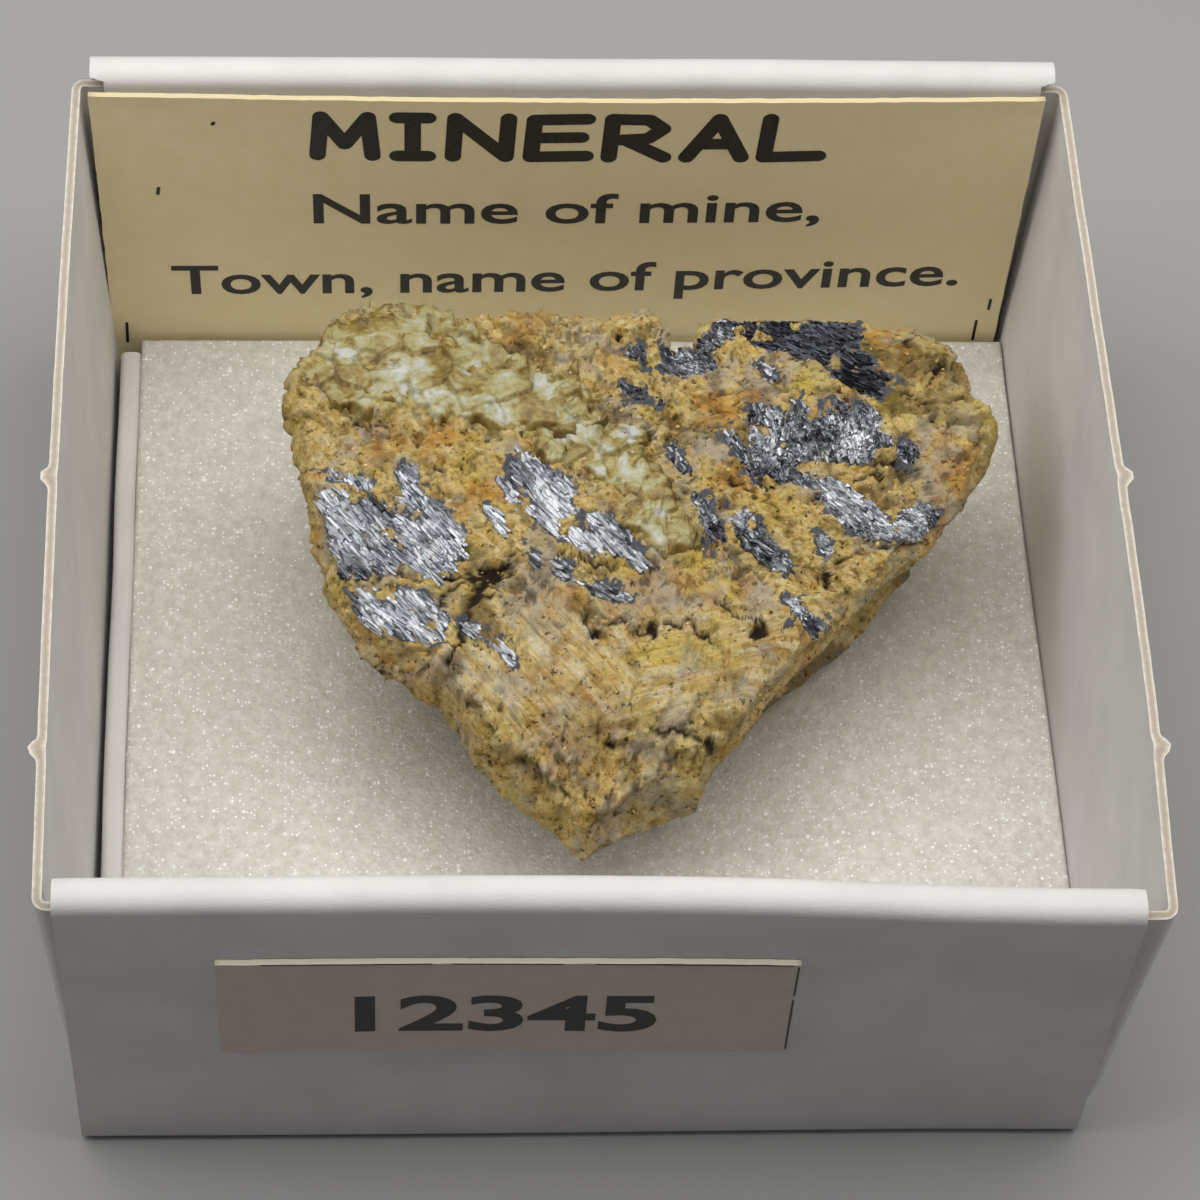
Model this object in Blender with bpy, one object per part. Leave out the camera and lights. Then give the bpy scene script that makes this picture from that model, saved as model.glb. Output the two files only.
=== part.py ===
"""A stibnite specimen in its collector's tray.

A small white card tray, folded from one blank, holds a foam pad. A name card leans on the back wall,
a number label is glued to the front wall, and the specimen lies on the pad: a broken piece of vein
rock with milky quartz and bundles of bladed stibnite set in its top face.

Frame: metres, +Z up, origin at the middle of the tray's underside. The front wall is at -Y.
"""
import math

import bmesh
import bpy
import numpy as np
from mathutils import Matrix, Vector

MM = 0.001

# Tray: one blank of white-lined card. The front and back walls are folded over double.
CARD = 0.45 * MM
TRAY_WIDTH = 42.0 * MM
TRAY_DEPTH = 42.0 * MM
TRAY_HEIGHT = 20.4 * MM
DOUBLE_WALL = 1.6 * MM
FOLD_RADIUS = 0.45 * MM
PANEL_SHY = 0.05 * MM          # the folded panels end this far inside the base's width
FLAP_SHY = 0.65 * MM           # the inner panels and floor flaps end this far inside it
FLOOR_GAP = 0.1 * MM           # air between the base and the floor flaps that lie on it
FLAP_MEETING = 0.6 * MM        # half the gap where the two floor flaps meet
SIDE_DROP = 1.3 * MM           # the raw-edged side walls are this much lower than the folded ones
SIDE_FLARE = 0.8 * MM          # and they lean out by this much at the top
CORNER_FLAP = 12.0 * MM        # length of the flaps tucked inside the double walls

# Clearances between separate pieces
GAP = 0.3 * MM
PAPER_GAP = 0.1 * MM

# Foam pad
FOAM_THICKNESS = 2.0 * MM
FOAM_LEFT = -19.5 * MM
FOAM_EDGE = 0.15 * MM

# Name card and number label: thin card
PAPER = 0.25 * MM
NAME_WIDTH = 41.0 * MM
NAME_HEIGHT = 18.2 * MM
NAME_LEAN = math.radians(2.5)
LABEL_WIDTH = 22.8 * MM
LABEL_HEIGHT = 7.5 * MM
LABEL_CENTRE_X = -3.5 * MM
LABEL_CENTRE_Z = 12.4 * MM

# Heights that the pieces stack up to
FLOOR_TOP = CARD + FLOOR_GAP + CARD
FOAM_BOTTOM = FLOOR_TOP + GAP
FOAM_TOP = FOAM_BOTTOM + FOAM_THICKNESS
ROCK_BOTTOM = FOAM_TOP + GAP

# Rock, in millimetres: the plan outline and the height of its widest line, counter-clockwise from
# the front tip.
ROCK_CENTRE = (2.5, 3.5)
ROCK_OUTLINE = [
    (0.0, -12.3, 7.8), (1.3, -11.6, 8.0), (2.9, -10.8, 8.2), (4.8, -10.5, 8.8), (5.5, -9.4, 10.0),
    (6.5, -8.4, 11.0), (7.6, -6.8, 11.6), (9.1, -5.0, 12.0), (12.4, -1.8, 12.4), (15.0, 0.5, 12.4),
    (17.8, 4.7, 12.0), (18.3, 6.4, 12.0), (17.2, 8.3, 12.2), (17.1, 9.5, 12.4), (16.6, 10.3, 12.6),
    (15.3, 11.0, 12.8), (13.0, 11.5, 13.0), (9.8, 11.7, 13.4), (6.3, 11.6, 13.2), (4.3, 10.7, 12.6),
    (3.3, 11.7, 13.2), (-2.8, 11.8, 13.2), (-6.3, 11.9, 13.2), (-7.9, 12.4, 13.2), (-9.8, 12.3, 12.8),
    (-11.0, 11.4, 12.4), (-11.4, 10.5, 12.2), (-12.4, 9.6, 11.8), (-12.7, 8.6, 11.6),
    (-12.1, 5.9, 11.8), (-11.6, 3.0, 12.0), (-10.8, -0.8, 12.0), (-9.5, -3.7, 11.6),
    (-7.6, -5.4, 11.2), (-6.0, -6.4, 10.8), (-4.3, -8.5, 10.0), (-2.4, -10.5, 8.8),
]
# How far in the foot stands, as a share of the outline's radius, by direction in degrees.
ROCK_FOOT = [(-180, 0.60), (-130, 0.58), (-95, 0.62), (-60, 0.72), (-20, 0.74), (20, 0.70),
             (60, 0.80), (100, 0.84), (140, 0.70), (180, 0.60)]
TOP_LEVEL = 13.6               # height of the top face at y = 0
TOP_RISE = 0.06                # it rises to the back by this slope
NOSE_START = -7.5              # in front of this line the face falls to the tip
NOSE_SLOPE = 0.75
TOP_INSET = 0.4                # the top edge is this far inside the widest line
TOP_EASE = 0.4                 # and is lowered towards it by this share of their difference
LUMPS = [(5.5, 0.55, 11), (2.2, 0.22, 23)]   # wavelength, height, seed
ROCK_AROUND = 84

# Inlays: bundles of parallel blades set in the top face. Centre x, y, direction in degrees,
# length, width in millimetres, and the number of blades.
SPRAYS = {
    "stibnite_left": (-8.05, 0.75, -50, 6.8, 4.7, 9),
    "stibnite_left_low": (-7.2, -3.3, -38, 3.4, 1.4, 4),
    "stibnite_centre": (-0.55, 1.45, -48, 6.6, 2.3, 6),
    "stibnite_centre_strip": (-0.2, -2.0, -30, 4.6, 0.8, 3),
    "stibnite_top_middle": (3.7, 8.5, -14, 4.4, 1.3, 4),
    "stibnite_top_right": (10.6, 9.5, -24, 8.2, 2.4, 7),
    "stibnite_right": (11.3, 5.55, -12, 6.8, 2.3, 6),
    "stibnite_right_low": (10.9, 2.5, -28, 5.4, 1.4, 4),
    "stibnite_right_tip": (14.6, 1.65, -20, 1.9, 1.0, 3),
    "stibnite_vein": (5.35, 3.1, -60, 4.6, 0.8, 3),
    "stibnite_lower_middle": (7.75, 0.35, -48, 3.2, 1.2, 4),
    "stibnite_spot": (8.9, -2.9, -40, 1.7, 1.1, 3),
}
SPRAY_DEPTH = 1.2
QUARTZ = {
    "quartz_mass": (-6.4, 8.4, 8, 8.6, 4.6),
    "quartz_vein": (1.75, 4.0, -58, 7.0, 1.7),
}
QUARTZ_DEPTH = 1.4
INLAY_GAP = GAP / MM
SOCKET_ABOVE = 3.0             # a socket's cutter runs this far above the face
BLADE_CRESTS = (0.25, 0.6)     # least and most height of a blade's crest above the face
BLADE_ENDS = 0.08              # a blade's end is cut back by up to this share of the bundle's length
SHOULDER = 0.55                # a blade's shoulder is at this share of its crest
CHISEL = 1.1                   # its chisel point is this many half widths long
END_WIDTH = 0.5                # an inlay's ends are this share of its middle width
WAIST = 0.6                    # and its full width lasts for this share of its length


# ---------------------------------------------------------------- helpers

def clear_scene():
    for obj in list(bpy.data.objects):
        bpy.data.objects.remove(obj, do_unlink=True)


def finish(name, colour, roughness, metallic=0.0):
    """A Principled material with the piece's plain colour."""
    material = bpy.data.materials.new(name)
    material.use_nodes = True
    shader = material.node_tree.nodes["Principled BSDF"]
    shader.inputs["Base Color"].default_value = (*colour, 1.0)
    shader.inputs["Roughness"].default_value = roughness
    shader.inputs["Metallic"].default_value = metallic
    return material


def solid(name, points, faces, material=None):
    """A mesh object from points and faces, with its faces pointing out."""
    mesh = bpy.data.meshes.new(name)
    mesh.from_pydata([tuple(p) for p in points], [], [tuple(f) for f in faces])
    work = bmesh.new()
    work.from_mesh(mesh)
    bmesh.ops.recalc_face_normals(work, faces=work.faces)
    work.to_mesh(mesh)
    work.free()
    obj = bpy.data.objects.new(name, mesh)
    bpy.context.scene.collection.objects.link(obj)
    if material:
        mesh.materials.append(material)
    return obj


def prism(name, outline, along, material=None):
    """A solid that carries a closed outline of points along a vector."""
    count = len(outline)
    base = [Vector(p) for p in outline]
    points = base + [p + Vector(along) for p in base]
    sides = [(i, (i + 1) % count, (i + 1) % count + count, i + count) for i in range(count)]
    return solid(name, points, [tuple(range(count)), tuple(range(count, 2 * count))] + sides, material)


def block(name, low, high, material=None):
    """A rectangular solid between two corners."""
    (x0, y0, z0), (x1, y1, z1) = low, high
    outline = [(x0, y0, z0), (x1, y0, z0), (x1, y1, z0), (x0, y1, z0)]
    return prism(name, outline, (0, 0, z1 - z0), material)


def combine(obj, others, operation):
    """Joins or cuts obj with the others by exact Booleans, keeps the result as its mesh, and removes
    the others."""
    for other in others:
        modifier = obj.modifiers.new(other.name, "BOOLEAN")
        modifier.operation = operation
        modifier.solver = "EXACT"
        modifier.object = other
    graph = bpy.context.evaluated_depsgraph_get()
    made = bpy.data.meshes.new_from_object(obj.evaluated_get(graph))
    obj.modifiers.clear()
    obj.data = made
    for other in others:
        bpy.data.objects.remove(other, do_unlink=True)
    return obj


# ---------------------------------------------------------------- tray

def rounded(corners, radii, steps=4):
    """The corner points of an open path, with an arc of that many steps at each corner that has a
    radius. Every corner is a right angle, so an arc starts one radius before it."""
    path = [Vector(corners[0])]
    for before, corner, after, radius in zip(corners, corners[1:], corners[2:], radii[1:]):
        corner = Vector(corner)
        start_way = (Vector(before) - corner).normalized()
        end_way = (Vector(after) - corner).normalized()
        if not radius:
            path.append(corner)
            continue
        centre = corner + (start_way + end_way) * radius
        for i in range(steps + 1):
            turn = math.pi / 2 * i / steps
            path.append(centre - end_way * radius * math.cos(turn) - start_way * radius * math.sin(turn))
    path.append(Vector(corners[-1]))
    return path


def band(path, thickness):
    """The closed outline of a sheet of that thickness whose middle follows an open path, by moving
    each point along the half-way normal of its two neighbours."""
    ways = [(b - a).normalized() for a, b in zip(path, path[1:])]
    left, right = [], []
    for i, point in enumerate(path):
        first, second = ways[max(i - 1, 0)], ways[min(i, len(ways) - 1)]
        normal = (Vector((-first.y, first.x)) + Vector((-second.y, second.x))).normalized()
        reach = thickness / 2 / normal.dot(Vector((-second.y, second.x)))
        left.append(point + normal * reach)
        right.append(point - normal * reach)
    return left + right[::-1]


def folded_strip(material):
    """The base, the two double walls and the floor flaps: one strip of card, seen from the side."""
    outer = TRAY_DEPTH / 2 - CARD / 2
    inner = TRAY_DEPTH / 2 - DOUBLE_WALL + CARD / 2
    top = TRAY_HEIGHT - CARD / 2
    base = CARD / 2
    flap = CARD + FLOOR_GAP + CARD / 2
    corners = [(-FLAP_MEETING, flap), (-inner, flap), (-inner, top), (-outer, top), (-outer, base),
               (outer, base), (outer, top), (inner, top), (inner, flap), (FLAP_MEETING, flap)]
    radii = [0, 0, FOLD_RADIUS, FOLD_RADIUS, 0, 0, FOLD_RADIUS, FOLD_RADIUS, 0, 0]
    half = TRAY_WIDTH / 2 - PANEL_SHY
    outline = [(-half, p.x, p.y) for p in band(rounded(corners, radii), CARD)]
    strip = prism("card_tray", outline, (2 * half, 0, 0), material)
    shy = TRAY_WIDTH / 2 - FLAP_SHY
    reach = TRAY_DEPTH / 2 - DOUBLE_WALL + CARD + FLOOR_GAP / 2
    high = TRAY_HEIGHT - CARD - FOLD_RADIUS
    trims = [
        block(f"trim_{side}", (min(side * shy, side * TRAY_WIDTH), -reach, CARD + FLOOR_GAP / 2),
              (max(side * shy, side * TRAY_WIDTH), reach, high))
        for side in (-1, 1)
    ]
    return combine(strip, trims, "DIFFERENCE")


def side_wall(side):
    """One leaning side wall with its two corner flaps, which lie between the double walls' layers."""
    high = TRAY_HEIGHT - SIDE_DROP
    foot = TRAY_WIDTH / 2
    flap_middle = TRAY_DEPTH / 2 - DOUBLE_WALL / 2
    reach = flap_middle + CARD / 2
    sheet = [(side * foot, 0), (side * (foot + SIDE_FLARE), high),
             (side * (foot + SIDE_FLARE - CARD), high), (side * (foot - CARD), 0)]
    wall = prism(f"side_{side}", [(x, -reach, z) for x, z in sheet], (0, 2 * reach, 0))
    low = CARD + FLOOR_GAP
    shape = [(side * (foot - CORNER_FLAP), low), (side * (foot - CARD / 2), low),
             (side * (foot + SIDE_FLARE - CARD / 2), high),
             (side * (foot + SIDE_FLARE - CORNER_FLAP), high)]
    flaps = [
        prism(f"flap_{end}", [(x, end * flap_middle - CARD / 2, z) for x, z in shape], (0, CARD, 0))
        for end in (-1, 1)
    ]
    return combine(wall, flaps, "UNION")


def card_tray():
    white_card = finish("white_card", (0.80, 0.79, 0.78), 0.75)
    return combine(folded_strip(white_card), [side_wall(-1), side_wall(1)], "UNION")


# ---------------------------------------------------------------- foam, name card, label

def foam_pad():
    """A flat pad with slightly softened edges, cut to fill the floor up to the name card."""
    right = TRAY_WIDTH / 2 - CARD - GAP
    front = -(TRAY_DEPTH / 2 - DOUBLE_WALL - GAP)
    pad = block("foam_pad", (FOAM_LEFT, front, FOAM_BOTTOM), (right, FOAM_BACK, FOAM_TOP),
                finish("white_foam", (0.72, 0.69, 0.63), 0.6))
    bevel = pad.modifiers.new("soft edges", "BEVEL")
    bevel.width = FOAM_EDGE
    bevel.segments = 2
    return pad


def name_card():
    """A thin card standing behind the pad, leaning back on the wall."""
    material = finish("cream_card", (0.62, 0.54, 0.34), 0.8)
    card = block("name_card", (-NAME_WIDTH / 2, -PAPER / 2, 0), (NAME_WIDTH / 2, PAPER / 2, NAME_HEIGHT),
                 material)
    card.location = (0, NAME_FOOT_Y, FLOOR_TOP + GAP)
    card.rotation_euler = (-NAME_LEAN, 0, 0)
    return card


def number_label():
    material = finish("grey_card", (0.55, 0.51, 0.47), 0.8)
    face = -TRAY_DEPTH / 2 - PAPER_GAP
    return block("number_label",
                 (LABEL_CENTRE_X - LABEL_WIDTH / 2, face - PAPER, LABEL_CENTRE_Z - LABEL_HEIGHT / 2),
                 (LABEL_CENTRE_X + LABEL_WIDTH / 2, face, LABEL_CENTRE_Z + LABEL_HEIGHT / 2), material)


# The name card's top just clears the back wall, and the pad ends just in front of its foot.
NAME_FOOT_Y = TRAY_DEPTH / 2 - DOUBLE_WALL - GAP - PAPER / 2 - NAME_HEIGHT * math.sin(NAME_LEAN)
FOAM_BACK = NAME_FOOT_Y - PAPER / 2 - GAP


# ---------------------------------------------------------------- rock, worked out in millimetres

def value_noise(points, wavelength, seed):
    """Smooth random heights from -1 to 1: a number at each corner of a lattice, blended by
    smoothstep inside each cell."""
    cell = np.asarray(points, float) / wavelength + 100.0
    corner = np.floor(cell).astype(np.int64)
    part = cell - corner
    part = part * part * (3 - 2 * part)
    total = 0.0
    for offset in np.ndindex(2, 2, 2):
        ix, iy, iz = (corner[..., k] + offset[k] for k in range(3))
        mixed = (ix * 374761393 + iy * 668265263 + iz * 1274126177 + seed * 97531) & 0xFFFFFFFF
        mixed = ((mixed ^ (mixed >> 13)) * 1103515245) & 0xFFFFFFFF
        value = ((mixed ^ (mixed >> 16)) & 0xFFFF) / 32767.5 - 1.0
        weight = np.prod([part[..., k] if offset[k] else 1 - part[..., k] for k in range(3)], axis=0)
        total = total + value * weight
    return total


def lumps(points):
    return sum(height * value_noise(points, wavelength, seed) for wavelength, height, seed in LUMPS)


def top_height(x, y):
    """Height of the broken top face: a plane rising to the back, and a nose falling to the tip."""
    x, y = np.asarray(x, float), np.asarray(y, float)
    face = np.minimum(TOP_LEVEL + TOP_RISE * y,
                      TOP_LEVEL + TOP_RISE * NOSE_START + NOSE_SLOPE * (y - NOSE_START))
    return face + 0.5 * lumps(np.stack([x, y, np.zeros_like(x)], -1))


def matrix_rock():
    """The rock: rings of points out over the top face, over the widest line, down the undercut sides
    to the foot, and in under it to a pole."""
    outline = np.array(ROCK_OUTLINE)
    centre = np.array(ROCK_CENTRE)
    away = outline[:, :2] - centre
    angles = np.linspace(-math.pi, math.pi, ROCK_AROUND, endpoint=False)
    bearings = np.arctan2(away[:, 1], away[:, 0])
    radius = np.interp(angles, bearings, np.hypot(*away.T), period=2 * math.pi)
    widest = np.interp(angles, bearings, outline[:, 2], period=2 * math.pi)
    foot_angles, foot_shares = np.array(ROCK_FOOT).T
    foot = np.interp(np.degrees(angles), foot_angles, foot_shares)
    bottom = ROCK_BOTTOM / MM
    rings = []

    def ring(reach, height=None, ease=0.0):
        x, y = centre[0] + reach * np.cos(angles), centre[1] + reach * np.sin(angles)
        z = top_height(x, y) * (1 - ease) + widest * ease if height is None else height + 0 * x
        rings.append(np.stack([x, y, z], -1))

    for share in (0.12, 0.25, 0.38, 0.5, 0.62, 0.73, 0.83, 0.92):
        ring(radius * share)
    ring(radius - TOP_INSET, ease=TOP_EASE)
    ring(radius, widest)
    for drop in (0.3, 0.6, 0.88):
        sway = 0.6 * value_noise(np.stack([radius * np.cos(angles), radius * np.sin(angles),
                                           widest * (1 - drop)], -1), 4.0, 31)
        ring(radius * (1 - drop * (1 - foot)) + sway, widest + (bottom - widest) * drop)
    ring(radius * foot * 0.9, bottom)
    ring(radius * foot * 0.45, bottom)
    top_pole = (*centre, float(top_height(*centre)))
    points = [top_pole, *np.concatenate(rings), (*centre, bottom)]
    last = len(points) - 1
    row = [1 + i * ROCK_AROUND for i in range(len(rings))]
    faces = []
    for i in range(ROCK_AROUND):
        after = (i + 1) % ROCK_AROUND
        faces.append((0, row[0] + i, row[0] + after))
        faces += [(a + i, b + i, b + after, a + after) for a, b in zip(row, row[1:])]
        faces.append((last, row[-1] + after, row[-1] + i))
    return solid("matrix_rock", np.array(points) * MM, faces,
                 finish("ochre_matrix", (0.40, 0.26, 0.09), 0.85))


# ---------------------------------------------------------------- inlays in the top face

def inlay_frame(x, y, direction):
    """Placement of an inlay: its origin on the top face, X along the blades, Z out of the face."""
    step = 1.0
    slope_x = float(top_height(x + step, y) - top_height(x - step, y)) / (2 * step)
    slope_y = float(top_height(x, y + step) - top_height(x, y - step)) / (2 * step)
    out = Vector((-slope_x, -slope_y, 1)).normalized()
    turn = math.radians(direction)
    along = Vector((math.cos(turn), math.sin(turn), 0))
    along = (along - out * along.dot(out)).normalized()
    across = out.cross(along)
    place = Matrix((along, across, out)).transposed().to_4x4()
    place.translation = Vector((x, y, float(top_height(x, y)))) * MM
    return place


def long_hexagon(length, width, grow=0.0):
    """Outline of an inlay: full width in the middle, narrowing to END_WIDTH at both ends."""
    x, y = length / 2 + grow, width / 2 + grow
    waist = x * WAIST
    end = y * END_WIDTH + grow / 2
    return [(-x, -end), (-waist, -y), (waist, -y), (x, -end), (x, end), (waist, y), (-waist, y), (-x, end)]


def socket(name, place, length, width, depth):
    """The cutter that makes room for an inlay, with the gap all round it, and runs out of the face."""
    outline = [(x, y, -depth - INLAY_GAP) for x, y in long_hexagon(length, width, INLAY_GAP)]
    cutter = prism(f"socket_{name}", [Vector(p) * MM for p in outline],
                   Vector((0, 0, depth + INLAY_GAP + SOCKET_ABOVE)) * MM)
    cutter.data.transform(place)
    return cutter


def blade(name, start, end, side, half_width, depth, crest):
    """One blade: a bar with a gabled top and a chisel point at each end."""
    shoulder, tip = crest * SHOULDER, half_width * CHISEL
    section = [(-half_width, -depth), (half_width, -depth), (half_width, shoulder), (0, crest),
               (-half_width, shoulder)]
    points = [(x, side + y, z) for x in (start + tip, end - tip) for y, z in section]
    points += [(start, side, z) for z in (-depth, shoulder)] + [(end, side, z) for z in (-depth, shoulder)]
    faces = [(i, (i + 1) % 5, (i + 1) % 5 + 5, i + 5) for i in range(5)]
    faces += [(0, 4, 11, 10), (4, 3, 11), (3, 2, 11), (2, 1, 10, 11), (1, 0, 10)]
    faces += [(5, 9, 13, 12), (9, 8, 13), (8, 7, 13), (7, 6, 12, 13), (6, 5, 12)]
    return solid(name, [Vector(p) * MM for p in points], faces)


def spray(name, place, length, width, blades, random, material):
    """A bundle of blades side by side, each a little longer, shorter, higher or lower than the next."""
    pitch = width / blades
    bars = []
    for i in range(blades):
        side = (i + 0.5) * pitch - width / 2
        half = min(pitch * random.uniform(0.52, 0.58), width / 2 - abs(side))
        beyond = max(0.0, (abs(side) + half) / (width / 2) - END_WIDTH) / (1 - END_WIDTH)
        most = length / 2 * (1 - (1 - WAIST) * beyond)
        start = -most + random.uniform(0.0, BLADE_ENDS) * length
        end = most - random.uniform(0.0, BLADE_ENDS) * length
        bars.append(blade(f"{name}_{i}", start, end, side, half, SPRAY_DEPTH, random.uniform(*BLADE_CRESTS)))
    first, others = bars[0], bars[1:]
    bundle = combine(first, others, "UNION")
    bundle.name = name
    bundle.data.name = name
    bundle.data.transform(place)
    bundle.data.materials.append(material)
    return bundle


def quartz_block(name, place, length, width, random, material):
    """A lump of quartz with a broken, faceted top."""
    rim = long_hexagon(length, width)
    count = len(rim)
    points = [(x * 0.94, y * 0.94, -QUARTZ_DEPTH) for x, y in rim]
    points += [(x, y, random.uniform(-0.2, 0.1)) for x, y in rim]
    points += [(x * 0.55, y * 0.5, random.uniform(0.25, 0.7)) for x, y in rim]
    points += [(0, 0, 0.45)]
    faces = [tuple(range(count))[::-1]]
    for i in range(count):
        after = (i + 1) % count
        faces.append((i, after, after + count, i + count))
        faces.append((i + count, after + count, after + 2 * count))
        faces.append((i + count, after + 2 * count, i + 2 * count))
        faces.append((i + 2 * count, after + 2 * count, 3 * count))
    lump = solid(name, [Vector(p) * MM for p in points], faces, material)
    lump.data.transform(place)
    return lump


def specimen():
    """The rock with its sockets cut, and the quartz and stibnite that fill them."""
    random = np.random.default_rng(7)
    rock = matrix_rock()
    stibnite = finish("stibnite", (0.27, 0.29, 0.31), 0.3, 1.0)
    milky_quartz = finish("milky_quartz", (0.62, 0.60, 0.44), 0.25)
    cutters = []
    for name, (x, y, direction, length, width, blades) in SPRAYS.items():
        place = inlay_frame(x, y, direction)
        spray(name, place, length, width, blades, random, stibnite)
        cutters.append(socket(name, place, length, width, SPRAY_DEPTH))
    for name, (x, y, direction, length, width) in QUARTZ.items():
        place = inlay_frame(x, y, direction)
        quartz_block(name, place, length, width, random, milky_quartz)
        cutters.append(socket(name, place, length, width, QUARTZ_DEPTH))
    return combine(rock, cutters, "DIFFERENCE")


def main():
    clear_scene()
    card_tray()
    foam_pad()
    name_card()
    number_label()
    specimen()


main()
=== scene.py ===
# %% [markdown]
# # A stibnite specimen in its collector's tray
#
# The object is a small white card tray with a foam pad on its floor. A broken piece of vein rock lies
# on the pad. Its face shows lead-grey bladed stibnite, milky quartz and a yellow-ochre matrix, which is
# stibnite that has weathered to antimony oxides. A name card leans on the back wall, and a number label
# is glued to the front.
#
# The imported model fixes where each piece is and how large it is. This script makes the fine surfaces,
# one cell at a time, as arrays of points worked out by formulas, in millimetres.

# %% Load the frame
import math

import bmesh
import bpy
import mathutils
import numpy as np
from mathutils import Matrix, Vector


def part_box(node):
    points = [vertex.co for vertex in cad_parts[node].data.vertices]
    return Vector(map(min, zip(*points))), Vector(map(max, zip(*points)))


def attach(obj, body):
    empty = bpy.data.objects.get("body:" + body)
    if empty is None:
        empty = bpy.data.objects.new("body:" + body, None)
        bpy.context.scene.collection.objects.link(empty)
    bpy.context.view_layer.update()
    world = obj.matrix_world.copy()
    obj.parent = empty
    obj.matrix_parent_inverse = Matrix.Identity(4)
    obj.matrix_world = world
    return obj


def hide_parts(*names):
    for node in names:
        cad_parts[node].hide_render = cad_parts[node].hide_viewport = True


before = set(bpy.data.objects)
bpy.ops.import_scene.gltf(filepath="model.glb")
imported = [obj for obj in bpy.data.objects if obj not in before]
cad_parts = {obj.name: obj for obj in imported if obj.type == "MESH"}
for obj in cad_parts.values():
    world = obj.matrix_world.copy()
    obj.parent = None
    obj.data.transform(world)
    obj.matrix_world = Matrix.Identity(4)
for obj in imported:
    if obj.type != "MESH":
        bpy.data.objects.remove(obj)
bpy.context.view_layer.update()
MM = 0.001
tray_low, tray_high = (np.array(corner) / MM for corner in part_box("card_tray"))
foam_low, foam_high = (np.array(corner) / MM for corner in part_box("foam_pad"))
card_low, card_high = (np.array(corner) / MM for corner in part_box("name_card"))
label_low, label_high = (np.array(corner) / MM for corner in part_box("number_label"))
print("nodes:", len(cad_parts), "tray, mm:", np.round(tray_high - tray_low, 1))

# %% [markdown]
# ## Camera, lights and floor
#
# The camera stands in front and above, about 19 cm away, with a long lens, so that the tray's walls
# converge only a little. A studio picture like this is lit by one wide soft light overhead and a little
# behind. It makes the tray's rims bright and its front face dark, and it gives the metal something
# bright to mirror. Two weaker panels at the sides and a dim room fill the shadows.

# %% Camera


def turn(axis, degrees):
    """A rotation about X or Z by that many degrees, as a 3 by 3 array."""
    c, s = math.cos(math.radians(degrees)), math.sin(math.radians(degrees))
    if axis == "X":
        return np.array([[1, 0, 0], [0, c, -s], [0, s, c]])
    return np.array([[c, -s, 0], [s, c, 0], [0, 0, 1]])


def place(obj, location, rotation):
    """Puts an object at a point in millimetres, turned by a 3 by 3 array."""
    rows = [[*row, spot * MM] for row, spot in zip(rotation, location)]
    obj.matrix_world = mathutils.Matrix([*rows, [0, 0, 0, 1]])
    bpy.context.scene.collection.objects.link(obj)
    return obj


CAMERA_AT = (-8.46, -97.41, 160.53)      # millimetres
LENS = 125.7
SENSOR = 36.0
# Heading, pitch from straight down, and roll, in degrees.
CAMERA_TURN = turn("Z", -5.53) @ turn("X", 32.88) @ turn("Z", 4.57)
camera = place(bpy.data.objects.new("camera", bpy.data.cameras.new("camera")), CAMERA_AT, CAMERA_TURN)
camera.data.sensor_width = SENSOR
camera.data.lens = LENS
camera.data.clip_start = 0.01
bpy.context.scene.camera = camera
bpy.context.scene.view_settings.view_transform = "Standard"
print("camera is", round(float(np.linalg.norm(CAMERA_AT))), "mm from the tray's underside")

# %% Lights and floor


def linear(code):
    """A colour written as sRGB hex, as linear red, green, blue and 1."""
    parts = [int(code[i:i + 2], 16) / 255 for i in (1, 3, 5)]
    return (*(c / 12.92 if c <= 0.04045 else ((c + 0.055) / 1.055) ** 2.4 for c in parts), 1.0)


def panel_light(name, location, target, size, watts, colour="#FFFFFF"):
    """A square soft light at a point, facing another point, both in millimetres."""
    lamp = bpy.data.lights.new(name, "AREA")
    lamp.shape = "RECTANGLE"
    lamp.size, lamp.size_y = size[0] * MM, size[1] * MM
    lamp.energy = watts
    lamp.color = linear(colour)[:3]
    back = np.array(location, float) - np.array(target, float)
    back /= np.linalg.norm(back)
    side = np.cross((0, 1, 0.001), back)
    side /= np.linalg.norm(side)
    return place(bpy.data.objects.new(name, lamp), location, np.stack([side, np.cross(back, side), back], 1))


panel_light("overhead", (0, 17, 145), (0, 10, 5), (210, 120), 0.28, "#FFFDF9")
panel_light("left", (-300, -20, 240), (0, 0, 10), (160, 200), 0.3, "#F6F8FF")
panel_light("right", (300, -60, 240), (0, 0, 10), (160, 200), 0.2, "#F6F8FF")

world = bpy.data.worlds.new("room")
bpy.context.scene.world = world
world.use_nodes = True
world.node_tree.nodes["Background"].inputs["Color"].default_value = linear("#DDE0E6")
world.node_tree.nodes["Background"].inputs["Strength"].default_value = 0.1

bpy.ops.mesh.primitive_plane_add(size=1.6, location=(0, 0, -0.0001))
floor = bpy.context.object
floor.name = "floor"
paper = bpy.data.materials.new("backdrop_paper")
paper.use_nodes = True
paper.node_tree.nodes["Principled BSDF"].inputs["Base Color"].default_value = linear("#9C9B99")
paper.node_tree.nodes["Principled BSDF"].inputs["Roughness"].default_value = 0.9
floor.data.materials.append(paper)

# %% [markdown]
# ## Tools for every piece
#
# Three small tools do most of the work. `piece` turns arrays into a mesh. `add` puts one node in a
# material. `value_noise` gives repeatable random heights: it hashes the corners of a lattice instead of
# drawing from a random stream, so a point always gets the same height, whichever piece asks for it.

# %% From arrays to a mesh


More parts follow.
